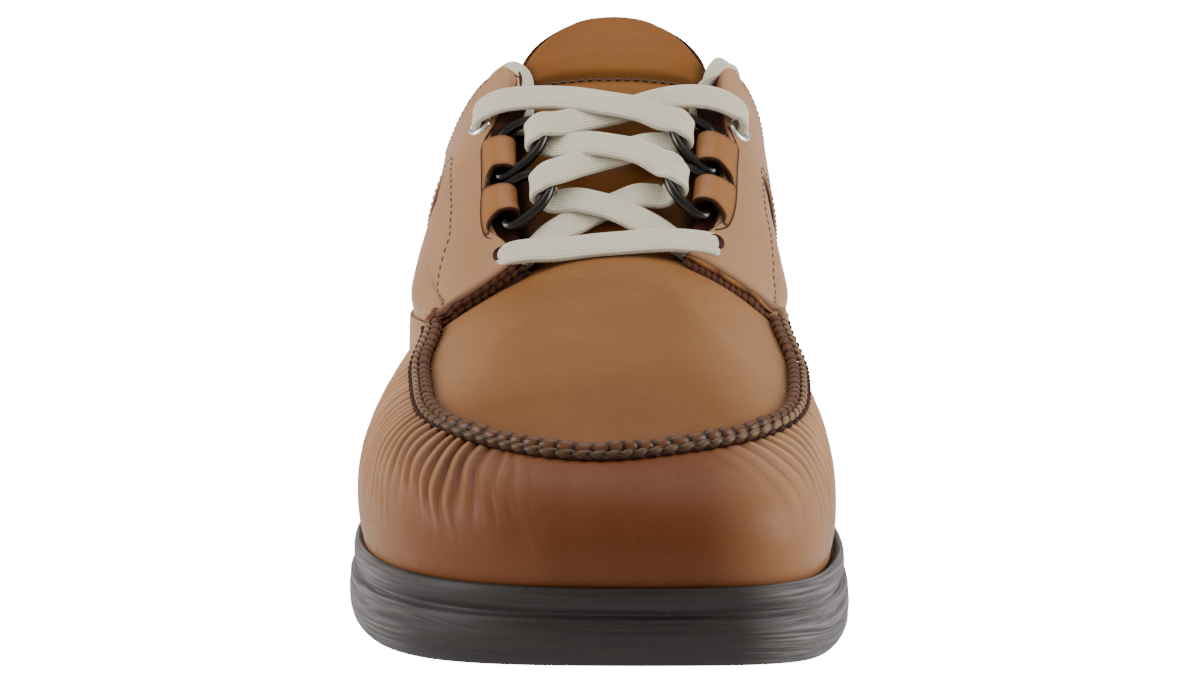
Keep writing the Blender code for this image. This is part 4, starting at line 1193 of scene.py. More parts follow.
front_share = np.exp(-(((seam_length - TOE_MIDDLE) / 55) ** 4))
lip_size, bead_size = 1.35 + 0.45 * front_share, 0.8 + 0.35 * front_share
uneven = 1 + 0.1 * np.sin(seam_length / 3.1) + 0.08 * np.sin(seam_length / 1.9 + 1)
seam_bar(
    "seam_lip", across=-0.3, up=1.45, radius=lip_size, tall=lip_size * uneven, pitch=LIP_PITCH,
    phase=0.0, slant=0.2, finish=SEAM_TAN, depth=0.27, sides=24, replaced=["moc_seam"],
)
seam_bar(
    "seam_beads", across=1.75, up=0.7 + 0.6 * (1 - front_share), radius=bead_size, tall=bead_size,
    pitch=BEAD_PITCH, phase=0.45, slant=0.9, finish=BEAD_TAN, depth=0.5,
)
seam_bar(
    "seam_outer_thread_and_shadow", across=2.55 + 0.3 * waves(BEAD_PITCH), up=0.1 + 0.3 * waves(BEAD_PITCH),
    radius=0.6, tall=0.6, pitch=BEAD_PITCH, phase=0.2, slant=0.5, finish=SHADE_AND_THREAD_DARK, depth=0.3, sides=10,
)
seam_bar(
    "seam_inner_thread_and_shadow", across=-2.15 + 0.3 * waves(INNER_PITCH), up=0.5 + 0.2 * waves(INNER_PITCH),
    radius=0.55, tall=0.5, pitch=INNER_PITCH, phase=0.1, slant=0.4, finish=SHADE_AND_THREAD_DARK, depth=0.4, sides=8,
)
for side_name, side in SIDES:
    corner = read("seam", side, np.array([JOIN - 0.02]))[0]
    outwards = np.array([1.0 if side else -1.0, 0, 0])
    bm = bmesh.new()
    for across, back, up, size, tall in KNOT_LUMPS:
        middle = corner + outwards * across + np.array([0, back, up])
        spot = Matrix.Translation(Vector(place(middle)))
        tip = Matrix.Rotation(0.5 * across, 4, "Y")
        shape = Matrix.Diagonal((size * MM, 1.3 * size * MM, tall * MM, 1))
        bmesh.ops.create_uvsphere(bm, u_segments=20, v_segments=12, radius=1, matrix=spot @ tip @ shape)
    finish = CUT_EDGE if side == LATERAL else BEAD_TAN
    make_piece(f"seam_knot_{side_name}", bm, [finish])

# %% [markdown]
# ## The quarters' front edges
# In front of each quarter's leather lie three narrow strips: its folded edge, the stitched strip
# it is bound with and a near-black strip beside them, a painted shadow for the gap there. They are
# swept bars too, all along the quarter's own front line, with small beads where a thread pulls at
# them, and painted shade between the beads.

# %% Front strips
StripRow = namedtuple("StripRow", "ahead up radius flat finish pitch depth")
EDGE_STRIPS = {
    LATERAL: (
        StripRow(0.1, -0.85, 1.1, 0.7, CUT_EDGE, 2.6, 0.15),
        StripRow(0.9, -1.9, 1.2, 0.75, SEAM_TAN, 2.2, 0.3),
        StripRow(2.1, -3.2, 1.5, 0.8, SHADE_AND_THREAD_DARK, 3.0, 0.1),
    ),
    MEDIAL: (
        StripRow(0.3, -0.1, 0.6, 0.8, ROLL_TAN, 9.0, 0.05),
        StripRow(1.5, -0.9, 1.5, 0.55, CUT_EDGE, 1.7, 0.24),
        StripRow(3.0, -1.7, 0.8, 0.8, SHADE_AND_THREAD_DARK, 3.0, 0.1),
    ),
}


def front_line(side, ahead, up):
    """A line along the quarter's front edge, this far in front of it and above its skin."""
    edge, normals, behind = front_edge[side]
    share = np.linspace(0, 1, 220)
    line = at_share(edge, share)
    turned, away = at_share(edge, share, normals), at_share(edge, share, edge - behind)
    run = unit(np.gradient(line, axis=0))
    forward = unit(np.cross(run, unit(turned)))
    forward *= np.sign((forward * away).sum(-1, keepdims=True))
    return line + forward * ahead + unit(turned) * up, forward


for side_name, side in SIDES:
    for row, strip in enumerate(EDGE_STRIPS[side]):
        path, forward = front_line(side, strip.ahead, strip.up)
        run = run_length(path)
        turn = np.linspace(0, 2 * np.pi, 14, endpoint=False)
        bead = bead_profile(run[:, None] + 0.5 * np.cos(turn)[None], strip.pitch, 0.3 * row, 0.7)
        taper = np.sqrt(np.clip(np.minimum(run / 5, (run[-1] - run) / 4), 0.05, 1))[:, None]
        size = strip.radius * (1 - strip.depth + strip.depth * bead) * taper
        section = np.stack([size * np.cos(turn), strip.flat * size * np.sin(turn)], -1)
        # Painted shade between the beads.
        crease = 0.85 * np.clip(1.15 - bead, 0, 1)
        rings = swept_rings(path, forward, section)
        make_bar(f"front_strip_{side_name}_{row}", rings, strip.finish, "tan_leather", crease=crease)

# %% [markdown]
# ## Stitches
# Waxed thread is sewn along each quarter's arch, where it lies on the panel, and along the free
# edge of its collar. Every stitch is a thin ball drawn long, half sunk in the leather, because a
# row of single stitches catches the light as a painted line does not.

# %% Stitches
COLLAR_INSET = 2.4
# How far the arch's stitches lie from the quarter's low edge: (place along, distance).
ARCH_STITCH = {
    LATERAL: [(116, 0.8), (126, 0.8), (130, 3.5), (137, 9.6), (145, 9.8), (154, 8.4), (166, 5), (180, 2.2)],
    MEDIAL: [(116, 0.8), (125.5, 0.9), (129, 2.9), (137, 5), (150, 4.9), (160, 3), (172, 1.6)],
}
STITCH_LONG, STITCH_PITCH, STITCH_THICK = 1.7, 2.4, 0.26


def line_on_quarter(side, from_top, first, last, inset_at):
    """A line on a quarter's skin between two shares of its length, inset from its low or top edge."""
    skin = quarter_skin[side] if side == LATERAL else quarter_skin[side][::-1]
    points = []
    for column in skin[int(first * len(skin)) : int(last * len(skin))]:
        column = column[::-1] if from_top else column
        share = inset_at(column[0, 1]) / run_length(column)[-1]
        points.append(at_share(column, np.array([np.clip(share, 0, 1)]))[0])
    return np.array(points)


for side_name, side in SIDES:
    arch = np.array(ARCH_STITCH[side])
    bm = bmesh.new()
    for path in (
        line_on_quarter(side, False, 0.01, 0.99, lambda along: np.interp(along, arch[:, 0], arch[:, 1])),
        line_on_quarter(side, True, 0.66, 0.99, lambda along: COLLAR_INSET),
    ):
        add_stitches(bm, path, STITCH_LONG, STITCH_PITCH, STITCH_THICK)
    make_piece(f"quarter_stitches_{side_name}", bm, [THREAD])

# %% [markdown]
# ## Tabs and rings
# At two places the facing's edge is carried round the straight side of a metal ring. Each tab is
# a rolled sheet whose front end is cut to a curved slot, and the rings are swept wires with rounded
# corners. `edge_frame` gives a point on the facing's edge and the directions inwards, away from
# the leather and back along the edge, and `at_edge` reads them for whole arrays of places.


# %% Places on the facing's edge
def edge_frame(side, along):
    """A point on the facing's edge, and the directions inwards, away and back from it."""
    curve = top_fine[side]
    half = curve[: len(curve) // 2]
    number = int(np.clip(np.argmax(half[:, 1] > along), 1, len(half) - 2))
    back = unit(half[number + 1] - half[number - 1])
    share = (along - half[number - 1, 1]) / max(half[number, 1] - half[number - 1, 1], 1e-6)
    corner = half[number - 1] + (half[number] - half[number - 1]) * np.clip(share, 0, 1)
    station = np.interp(along, read("top", side, EDGE_STATIONS)[:, 1], EDGE_STATIONS)
    away = quarter_normal(side, np.array([station]), np.array([0.94]))[0]
    inwards = unit(np.cross(back, away) * (-1 if side else 1))
    return corner, inwards, np.cross(inwards, back) * (-1 if side else 1), back


def at_edge(side, along, inwards_by, away_by):
    """Points beside the facing's edge, for arrays of places along it and distances from it."""
    frames = EDGE_FRAMES[side]
    column = np.clip((np.asarray(along) - EDGE_ALONGS[0]) / EDGE_STEP, 0, len(frames) - 1.001)
    low = column.astype(int)
    part = (column - low)[..., None, None]
    corner, inwards, away = np.moveaxis(frames[low] * (1 - part) + frames[low + 1] * part, -2, 0)
    return corner + inwards * np.asarray(inwards_by)[..., None] + away * np.asarray(away_by)[..., None]


EDGE_STATIONS = np.linspace(JOIN + 0.05, JOIN + 9, 200)
EDGE_STEP = 0.5
EDGE_ALONGS = np.arange(122, 178, EDGE_STEP)
EDGE_FRAMES = {
    side: np.array([edge_frame(side, along)[:3] for along in EDGE_ALONGS]) for _, side in SIDES
}
print("places read on each facing's edge:", len(EDGE_ALONGS))

# %% Tabs
TAB_THICK = 1.2
# Where each tab's front and rear ends lie, and the corner of the slot before it.
TAB_SHOWN = {"lower": (134.8, 142.3, 131.5), "upper": (147.5, 155.0, 143.0)}
TAB_POINTS = 80  # across a tab
ROLL_IN = 2.7  # from the facing's line to the middle of a tab's roll


def tab_section(tip):
    """Middle line of a tab's leather, from the facing over the ring and back: inwards and away."""
    turns = np.linspace(np.pi / 2, -np.pi / 2, 22)
    roll = np.column_stack([ROLL_IN + 3.6 * np.cos(turns), 0.45 + 2.7 * np.sin(turns)])
    rise = [(tip - 0.9, 1.95), (tip, 2.25), (0.6 * tip + 0.9, 2.65), (0.3 * tip + 1.8, 2.98)]
    under = [(1.2, -2.1), (-0.6, -1.9)]
    return at_share(smooth_curve(np.vstack([rise, roll, under]), fine=6), np.linspace(0, 1, TAB_POINTS))


def make_tab(name, side, level):
    """The facing's leather over a ring's straight side; its front end is cut to a curved slot."""
    start, end, slot = TAB_SHOWN[level]
    layers, ends = [[], []], []
    for way in np.concatenate([[0], ease(np.linspace(0.02, 0.98, 30)), [1]]):
        tip = edge_reach(side, slot + (end - slot) * way)
        middle = tab_section(tip)
        over = np.clip((middle[:, 0] - tip) / (ROLL_IN - tip), 0, 1)
        over[np.argmax(middle[:, 0]) :] = 1
        front = slot + (start - slot) * over**0.3
        rear = end + 0.7 * (1 - over)
        along = front + (rear - front) * way
        run = unit(np.gradient(middle, axis=0))
        square = np.column_stack([-run[:, 1], run[:, 0]]) * TAB_THICK / 2
        for layer, face in zip(layers, (1, -1)):
            section = middle + square * face
            layer.append(at_edge(side, along, section[:, 0], section[:, 1]))
        from_end = np.minimum(along - front, rear - along)
        # Painted shade at the tab's ends and where it leaves the facing.
        ends.append(0.8 * np.exp(-from_end / 0.35) + 0.9 * np.exp(-run_length(middle) / 0.35))
    turned = slice(None, None, -1 if side == MEDIAL else 1)
    outer, inner, ends = [np.array(rows)[turned] for rows in (*layers, ends)]
    crease = np.clip(ends, 0, 1)
    make_sheet(f"{name}_roll", outer, inner, [ROLL_TAN, CUT_EDGE], [name], crease=crease)


# %% Slots and panel lines
LINING_POINTS = 14  # across the lining of a slot
PANEL_LINE_UP, PANEL_LINE_THICK = 2.28, 0.54


def make_slot_lining(side_name, side):
    """The underside of the leather, seen in the slots beside the rings, painted near black as the shade in
    them.
    """
    alongs = np.linspace(129, 166.5, 84)
    upper_part = ease((alongs - 155) / 3)
    layers = []
    for drop in (0.0, 0.8):
        rows = []
        for along, wide in zip(alongs, upper_part):
            tip = float(edge_reach(side, along))
            section = [
                (tip - 1.3, 1.5 - 0.3 * drop), (tip, 1.25 - drop), (tip + 0.6, 0.3 - drop),
                (tip + 1.3 + 0.5 * wide, -0.8 - drop), (3.6 + 1.5 * wide, -1.7 - drop),
            ]
            section = at_share(smooth_curve(section, fine=4), np.linspace(0, 1, LINING_POINTS))
            rows.append(at_edge(side, np.full(LINING_POINTS, along), section[:, 0], section[:, 1]))
        layers.append(np.array(rows)[:: -1 if side == MEDIAL else 1])
    finishes, no_crease = [SHADE_AND_THREAD_DARK, SHADE_AND_THREAD_DARK], np.zeros(layers[0].shape[:2])
    make_sheet(f"slot_lining_{side_name}", *layers, finishes, crease=no_crease)


def make_panel_line(side_name, side):
    """The thin dark line in the facing that runs behind both tabs and turns to the edge below them."""
    alongs = np.concatenate([
        np.linspace(159.5, 156.5, 14), np.linspace(156.2, 130.6, 100), np.linspace(130.2, 128.6, 10)
    ])
    ends = np.clip((alongs - 156.4) / 3, 0, 1) + np.clip((130.4 - alongs) / 1.8, 0, 1)
    inwards_by = edge_reach(side, alongs) - (1 - ends) - 0.2
    path = at_edge(side, alongs, inwards_by, np.full(len(alongs), PANEL_LINE_UP))
    path = at_share(smooth_curve(path[::4], fine=6), np.linspace(0, 1, 150))
    rings = swept_rings(path, np.array([1.0, 0, 0]), round_section(PANEL_LINE_THICK / 2, 8))
    make_bar(f"panel_line_{side_name}", rings, SHADE_AND_THREAD_DARK, "tan_leather")


# %% Rings
LEG_GAP = 2.2  # how far a ring's straight side goes on beyond its tab
BAR_IN, BAR_AWAY = 2.1, 0.5  # where it lies beside the facing's edge
RING_WIRE, RING_ROUNDINGS = 2.5, 14
RING_REACH = {LATERAL: np.array([11.4, 1.6, 7.2]), MEDIAL: np.array([-9.8, 1.6, 6.9])}


def ring_frame(side, start, end):
    """Middle of a ring's straight side, half of it as a vector, and the reach of its bow."""
    ends = []
    for along in (start - LEG_GAP, end + LEG_GAP):
        corner, inwards, away, _ = edge_frame(side, along)
        ends.append(corner + inwards * BAR_IN + away * BAR_AWAY)
    return (ends[0] + ends[1]) / 2, (ends[1] - ends[0]) / 2, RING_REACH[side]


def make_ring(name, side, start, end):
    """A wire ring: a straight side under the tab and a bow that carries the lace."""
    middle, half, reach = ring_frame(side, start, end)
    turn = np.linspace(0, np.pi, 60)[:, None]
    rear_in = np.where(np.cos(turn) > 0, 0.8 + 0.2 * np.cos(turn) ** 2, 1)
    bow = middle + half * np.cos(turn) * rear_in + reach * (0.12 + 0.88 * np.sin(turn) ** 0.75)
    straight = middle + half * np.linspace(-0.82, 0.82, 20)[:, None]
    loop = np.vstack([straight, bow])
    loop = even_points(np.vstack([loop, loop[:1]]), 0.5)[:-1]
    for _ in range(RING_ROUNDINGS):
        loop = (np.roll(loop, 1, axis=0) + 2 * loop + np.roll(loop, -1, axis=0)) / 4
    facing = unit(np.cross(half, reach))
    rings = swept_rings(loop, facing, round_section(RING_WIRE / 2, 20), closed=True)
    make_bar(f"{name}_wire", rings, GUNMETAL, "dark_metal", [name], closed=True)


# %% Tabs and rings on both sides
for side_name, side in SIDES:
    for level_name, start, end in TABS:
        make_tab(f"tab_{side_name}_{level_name}", side, level_name)
        make_ring(f"ring_{side_name}_{level_name}", side, start, end)
    make_slot_lining(side_name, side)
    make_panel_line(side_name, side)

# %% [markdown]
# ## Eyelets
# The top lace holes have metal eyelets: a rounded flange and a short tube. The bottom holes are
# plain, with a dark pressed rim and a near-black dish across the hole, a painted shade for its
# inside. The spin operator turns a profile into each of them, and a matrix carries it to its hole.

# %% Eyelets
# Each hole's place along, and its distance from the facing's edge.
TOP_HOLE = {LATERAL: (160.3, 2.8), MEDIAL: (160.0, 3.9)}
BOTTOM_HOLE = {LATERAL: (125.4, 2.6), MEDIAL: (126.8, 3.0)}
# A bottom hole: its dark pressed rim and a dish across it, painted shade for its inside.
HOLE_PROFILE = [(2.2, 2.3), (2.05, 2.7), (1.75, 2.78), (1.5, 2.55), (0.05, 2.45), (0.05, 2.0), (2.0, 1.8)]
EYELET_LIFT = -0.4
HOLE_LIFT = {LATERAL: 0.6, MEDIAL: 0.0}
EYELET_PROFILE = [
    (3.15, 2.6), (3.2, 2.9), (3.08, 3.22), (2.8, 3.45), (2.4, 3.52), (2.05, 3.4), (1.78, 3.1),
    (1.6, 2.6), (1.6, -2.3), (1.95, -2.3), (1.95, 2.6),
]


def make_eyelet(name, side, hole, lift, profile, finish, replaced=()):
    """Spins a profile of (radius, height) rows round a lace hole's axis."""
    along, from_edge = hole[side]
    corner, inwards, away, _ = edge_frame(side, along)
    middle = corner - inwards * from_edge + away * lift
    bm = bmesh.new()
    verts = [bm.verts.new((radius * MM, 0, up * MM)) for radius, up in profile]
    edges = [bm.edges.new((verts[i], verts[(i + 1) % len(verts)])) for i in range(len(verts))]
    bmesh.ops.spin(
        bm, geom=verts + edges, cent=(0, 0, 0), axis=(0, 0, 1), angle=2 * np.pi, steps=40, use_merge=True
    )
    bmesh.ops.recalc_face_normals(bm, faces=bm.faces)
    spot = Matrix(np.column_stack([inwards, np.cross(away, inwards), away]).tolist()).to_4x4()
    spot.translation = Vector(place(middle))
    bmesh.ops.transform(bm, matrix=spot, verts=bm.verts)
    make_piece(name, bm, [finish], replaced)


for side_name, side in SIDES:
    make_eyelet(
        f"eyelet_{side_name}_metal", side, TOP_HOLE, EYELET_LIFT, EYELET_PROFILE, SILVER,
        [f"eyelet_{side_name}"],
    )
    make_eyelet(
        f"bottom_hole_{side_name}", side, BOTTOM_HOLE, HOLE_LIFT[side], HOLE_PROFILE, SHADE_AND_THREAD_DARK,
    )

# %% [markdown]
# ## The tongue
# The tongue is padded at its top. A line of stitches runs across below the padding and pulls a
# shallow groove into it. Its cloth does not hang or fall, so it is shaped from given rows: each row
# has a crest, a half width and a thickness, and the padding swells between its edges and the groove.

# %% Tongue
# Rows of the tongue: place along, height of its crest, half its width and its thickness.
TONGUE_ROWS = [
    (112, 65.4, 21, 2.2), (119, 68.2, 23, 2.4), (127, 72.4, 25, 2.8), (137, 78.8, 26.5, 3.2),
    (149, 87.4, 26.5, 3.6), (160, 95.8, 26, 4.2), (169, 103, 24.5, 5), (177, 109, 23, 6),
    (184, 113.2, 22, 6.4), (189.5, 116, 17.8, 5.6), (192, 117.2, 12, 4),
]
TONGUE_MIDDLE, TONGUE_CROWN = 1.2, 0.010  # its middle lies across by this, its sides fall by this
TONGUE_SEAM = 173.0
TONGUE_COLUMNS = 81
tongue_curve = smooth_curve(TONGUE_ROWS)
tongue_slope = np.gradient(tongue_curve[:, 1]) / np.gradient(tongue_curve[:, 0])
end_along, end_up, end_half, end_thick = TONGUE_ROWS[-1]
end_turn = np.linspace(0, np.pi / 2, 10)[1:]
rounded_end = np.column_stack([
    end_along + 1.1 * np.sin(end_turn),
    end_up + 0.35 * np.sin(end_turn),
    end_half * np.cos(end_turn) ** 0.8,
    end_thick * np.cos(end_turn) ** 0.5 + 0.3,
])
tongue_table = np.vstack([tongue_curve, rounded_end])
tongue_slope = np.concatenate([tongue_slope, np.full(len(rounded_end), tongue_slope[-1])])
share = np.linspace(-1, 1, TONGUE_COLUMNS)[None]
along, crest, half, thick = [tongue_table[:, i : i + 1] for i in range(4)]
offset = share * half
groove_line = TONGUE_SEAM + 0.006 * offset**2
groove = np.exp(-(((along - groove_line) / 1.3) ** 2))
pad = ease((along - groove_line) / 7) * ease((192.5 - along) / 7) * (1 - share**4)
lift = 0.9 * pad - 1.3 * groove * (1 - share**6)
tilt = np.hypot(1, tongue_slope)[:, None]
swell = thick * (1 - 0.75 * share**4)
edge_drop = 0.5 * thick * share**8
slope = tongue_slope[:, None]
up = crest - TONGUE_CROWN * offset**2
rise = lift - edge_drop
across = offset + TONGUE_MIDDLE
tongue_outer = np.stack([across, along - rise * slope / tilt, up + rise / tilt], axis=-1)
tongue_inner = np.stack([across, along + swell * slope / tilt, up - swell / tilt], axis=-1)
from_middle = np.abs(across)
# Painted shadow on the tongue's sides under the facings, and painted shade in its groove and along its
# edges.
under_facings = ease((from_middle - 12.5 - 0.12 * (along - 125)) / 7) * ease((174 - along) / 8)
tongue_crease = np.clip(0.5 * groove + 0.35 * np.abs(share) ** 10 + under_facings, 0, 1)
tongue = make_sheet(
    "tongue_padded", tongue_outer, tongue_inner, [TONGUE_TAN, LINING], ["tongue"],
    crease=tongue_crease,
)
groove_row = np.array([np.argmin(np.abs(along[:, 0] - middle)) for middle in groove_line[0]])
stitch_path = tongue_outer[groove_row, np.arange(TONGUE_COLUMNS)][14:-14]
bm = bmesh.new()
add_stitches(bm, stitch_path + np.array([0, -0.25, 0.25]), length=1.6, pitch=2.2, radius=0.3)
make_piece("tongue_stitches", bm, [THREAD])

# %% [markdown]
# ## The sole
# The wall of the sole has a rounded rim, a shallow groove below it and fine streaks that run round
# it, strongest at the toe's corners. It is one closed grid, fine enough to hold the streaks. The
# tread below is a second, thinner grid whose channels bow forward in the middle.

# %% Wall of the sole
SPRING_LENGTH, SPRING_HEIGHT = 64.0, 7.5
ARCH_FRONT, ARCH_BACK, ARCH_HEIGHT = 132.0, 206.0, 2.6
# Rows of the wall's top and bottom: in from the sole's edge, then down from its top or up from
# the ground.
RIM_ROWS = [
    (6.0, 1.6), (3.7, 1.5), (3.25, 0.9), (3.0, 0.25), (2.3, 0.05), (1.7, 0.5), (1.25, 1.4), (1.1, 2.6),
    (1.2, 4.3), (1.75, 5.3), (1.95, 5.9), (1.5, 6.5), (0.75, 7.2), (0.3, 8.4),
]
RIM_FINE, TREAD_FINE, WALL_STEPS = 5, 7, 16
STREAK_DEEP = 0.11
PLAIN_ROWS = 22  # rows at the wall's bottom without streaks
CORNER_ACROSS, CORNER_WIDE = 46, 16  # where the toe's corners lie, and how wide they are
TREAD_ROWS = [(0.0, 7.0), (0.1, 4.6), (0.6, 2.4), (1.7, 0.8), (3.4, 0.0), (3.9, 0.4), (4.0, 2.2)]


def bottom_height(along):
    """How high the tread lies: it springs up at the toe and arches before the heel."""
    spring = np.clip((SPRING_LENGTH - along) / SPRING_LENGTH, 0, 1) ** 1.9 * SPRING_HEIGHT
    share = np.clip((along - ARCH_FRONT) / (ARCH_BACK - ARCH_FRONT), 0, 1)
    return spring + ARCH_HEIGHT * np.sin(np.pi * share) ** 2


def streaks(run, up):
    """Fine wavy grooves that run round the sole's wall."""
    total = np.zeros_like(run)
    chance = np.random.default_rng(3)
    for pitch, weight in ((2.3, 1.0), (1.4, 0.8), (0.95, 0.5)):
        for _ in range(3):
            length = chance.uniform(25, 70)
            phase = chance.uniform(0, 2 * np.pi, 2)
            wobble = 0.9 * np.sin(run / length + phase[0]) + 0.3 * np.sin(run / 11 + phase[1])
            total += weight * np.sin(2 * np.pi * (up + wobble) / pitch + phase[1])
    return total / 4


def sole_wall(side, stations):
    """Columns of the sole's wall, from its top's inside over the rim and down to the tread."""
    out, edge = read("out", side, stations), read("edge", side, stations)
    rim, tread = smooth_curve(RIM_ROWS, fine=RIM_FINE), smooth_curve(TREAD_ROWS, fine=TREAD_FINE)
    columns = []
    for spot, normal in zip(edge, out):
        rim_points = spot - normal * rim[:, :1]
        rim_up = height_at(SOLE_TOP, rim_points[:, 1]) - rim[:, 1]
        tread_points = spot - normal * tread[:, :1]
        tread_up = bottom_height(tread_points[:, 1]) + tread[:, 1]
        shares = np.linspace(0, 1, WALL_STEPS)[1:-1]
        join = rim_points[-1] * (1 - shares[:, None]) + tread_points[0] * shares[:, None]
        join_up = rim_up[-1] * (1 - shares) + tread_up[0] * shares
        level = np.vstack([rim_points, join, tread_points])
        columns.append(np.column_stack([level, np.concatenate([rim_up, join_up, tread_up])]))
    return np.array(columns)


sole_stations = np.concatenate([np.linspace(0, JOIN, 180), np.linspace(JOIN, HEEL, 105)[1:]])
sole_points = both_sides(lambda side: sole_wall(side, sole_stations))
sole_normals = grid_normals(sole_points, True)
if sole_normals[len(sole_stations), 60, 1] > 0:
    sole_normals = -sole_normals
rim_count = (len(RIM_ROWS) - 1) * RIM_FINE + 1
row_number = np.arange(sole_points.shape[1])
on_wall = ease((row_number - rim_count + 6) / 6)
on_wall *= ease((len(row_number) - PLAIN_ROWS - row_number) / 8)
run_round = run_length(sole_points[:, rim_count])[:, None]
from_corner = (np.abs(sole_points[:, :1, 0]) - CORNER_ACROSS) / CORNER_WIDE
corner = 0.35 + 0.65 * np.exp(-(from_corner**2))
streak = STREAK_DEEP * streaks(*np.broadcast_arrays(run_round, sole_points[..., 2]))
sole_points = sole_points + sole_normals * (streak * on_wall[None] * corner)[..., None]
bm = bmesh.new()
add_grid(bm, sole_points, close_columns=True)
bmesh.ops.remove_doubles(bm, verts=bm.verts, dist=MERGE_GAP)
bmesh.ops.holes_fill(bm, edges=[edge for edge in bm.edges if edge.is_boundary], sides=0)
make_piece("sole_wall", bm, [RUBBER], ["sole"])

# %% Tread of the sole
CHANNELS = [42 + 11.5 * i for i in range(8)] + [216 + 12 * i for i in range(6)]
CHANNEL_WIDE, CHANNEL_DEEP, CHANNEL_BOW = 3.2, 2.2, 5.0
CHANNEL_INSET = 5.6  # how far its ends lie from the tread's edge
TREAD_INSET, TREAD_THICK = 3.4, 1.0
ends = []
for side_number in (LATERAL, MEDIAL):
    curve = sole_halves[side_number][:, :2] - sole_out[side_number] * TREAD_INSET
    order = np.argsort(curve[:, 1])
    ends.append((curve[order, 1], curve[order, 0]))
lowest = max(ends[0][0][0], ends[1][0][0]) + 0.05
highest = min(ends[0][0][-1], ends[1][0][-1]) - 0.05
tread_along = np.linspace(lowest, highest, 500)
left = np.interp(tread_along, *ends[0])[:, None]
right = np.interp(tread_along, *ends[1])[:, None]
spread_share = np.linspace(-1, 1, 41)[None]
tread_across = left * (1 - spread_share) / 2 + right * (1 + spread_share) / 2
channel_long = np.maximum(right - left - 2 * CHANNEL_INSET, 1)
cut_share = np.clip((tread_across - left - CHANNEL_INSET) / channel_long * 2 - 1, -1.2, 1.2)
inside = ease((1.02 - np.abs(cut_share)) / 0.03)
channel = np.zeros_like(tread_across)
for start in CHANNELS:
    begins = start - CHANNEL_BOW * (1 - np.minimum(np.abs(cut_share), 1) ** 2)
    way = tread_along[:, None] - begins
    channel = np.maximum(channel, ease((way + 0.25) / 0.5) * ease((CHANNEL_WIDE + 0.25 - way) / 0.5))
tread_up = bottom_height(tread_along)[:, None] + CHANNEL_DEEP * channel * inside
tread_low = np.stack(np.broadcast_arrays(tread_across, tread_along[:, None], tread_up), axis=-1)
tread_high = tread_low + np.array([0, 0, TREAD_THICK])
make_sheet("sole_tread", tread_low, tread_high, [RUBBER], ["sole"], "sole_rubber", lined=False)

# %% [markdown]
# ## Insole
# The insole keeps its solid, which is plain and hidden for the most part, and gets a leather
# finish of its own.

# %% Insole
INSOLE = leather(
    "insole_leather", (0.34, 0.20, 0.11), (0.27, 0.15, 0.08), (0.2, 0.1, 0.05), (0.1, 0.05, 0.03),
    roughness=0.7, toe=0.0,
)
insole_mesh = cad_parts["insole"].data
insole_mesh.materials.clear()
insole_mesh.materials.append(INSOLE)
print("insole:", len(insole_mesh.polygons), "faces of the solid, in", INSOLE.name)

# %% [markdown]
# ## The lace
# The whole lace is one flat tape. From the lateral eyelet it runs over the crossing to a medial
# ring, folds down through it, comes back under, and so on down to the bottom hole, across as the
# bar and up the other way. Each spot of its route has a tilt of the tape and says how far the
# tape is gathered, as it is inside a hole. Its two ends arch up behind the facings and hang down
# inside the collar. They are loose, so each is a cord of its own.

# %% Route of the lace
Spot = namedtuple("Spot", "across along up tilt gather", defaults=(37, 1.0))
LACE_WIDE, LACE_THICK = 7.2, 1.7
LEAST_GATHER, GATHER_SCALE = 0.45, 20  # the scale weighs it against the distances in the spline
# The tape's way over a bow: inwards of the wire, and above it.
FOLD_STEPS = [(0.6, 1.6), (2.6, 1.5), (4.0, 0.9), (4.4, -0.2), (3.8, -1.1), (2.4, -1.8)]


def spots(*rows):
    """A part of the tape's route, from rows of place, tilt and gather."""
    return [Spot(*row) for row in rows]


def ring_fold(side, level, upwards=False):
    """The tape's way over a ring's bow, down through the ring and back under it."""
    middle, half, reach = ring_frame(side, *TABS[level][1:])
    above = unit(np.cross(half, reach))
    above *= np.sign(above[2])
    bow = middle + 0.97 * reach
    fold = []
    for number, (inside, height) in enumerate(FOLD_STEPS):
        drift = unit(half) * (0.5 - number / len(FOLD_STEPS))
        fold.append(Spot(*(bow - unit(reach) * inside + above * height + drift), 38))
    return fold[::-1] if upwards else fold


LATERAL_START = spots(
    (-23.2, 162.2, 94.4, 50, 0.8), (-25.8, 163.4, 92.6, 45, 0.6), (-27.8, 163.4, 92, 40, 0.48),
    (-29.3, 162.4, 93.6, 37, 0.42), (-30.7, 161.5, 95.4, 37, 0.45), (-31.3, 161, 97.2, 37, 0.7),
    (-30.4, 160.8, 99.4, 37, 0.92),
)
TOP_OVER = spots(
    (-27.6, 160.8, 101.4), (-23, 160.8, 102.6), (-17, 160.6, 103), (-8, 160, 102.8), (1, 158, 101.8),
    (9, 155.2, 100.5), (13, 153.2, 99.3),
)
MID_UNDER = spots(
    (15, 151.2, 93.9), (10.5, 149.8, 93.5), (4.5, 147.4, 92.4, 36), (-2, 145, 91, 36),
    (-7, 142.2, 90.2), (-11, 139.8, 89.3),
)
LOW_OVER = spots(
    (-13.6, 137.6, 82.6), (-9.5, 136.8, 82.6), (-4, 135.6, 82.3), (2, 133.8, 80.9, 38),
    (7, 131.5, 78.9, 38), (12, 129, 76.6, 38), (17, 127.8, 73.4, 38), (21.5, 127.6, 70.4, 38, 0.9),
)
MEDIAL_BOTTOM = spots(
    (24, 127.8, 69.2, 38, 0.7), (25, 127.2, 69.8, 38, 0.5), (25.5, 126, 71.4, 38, 0.5),
    (25.4, 125, 73, 36, 0.75),
)
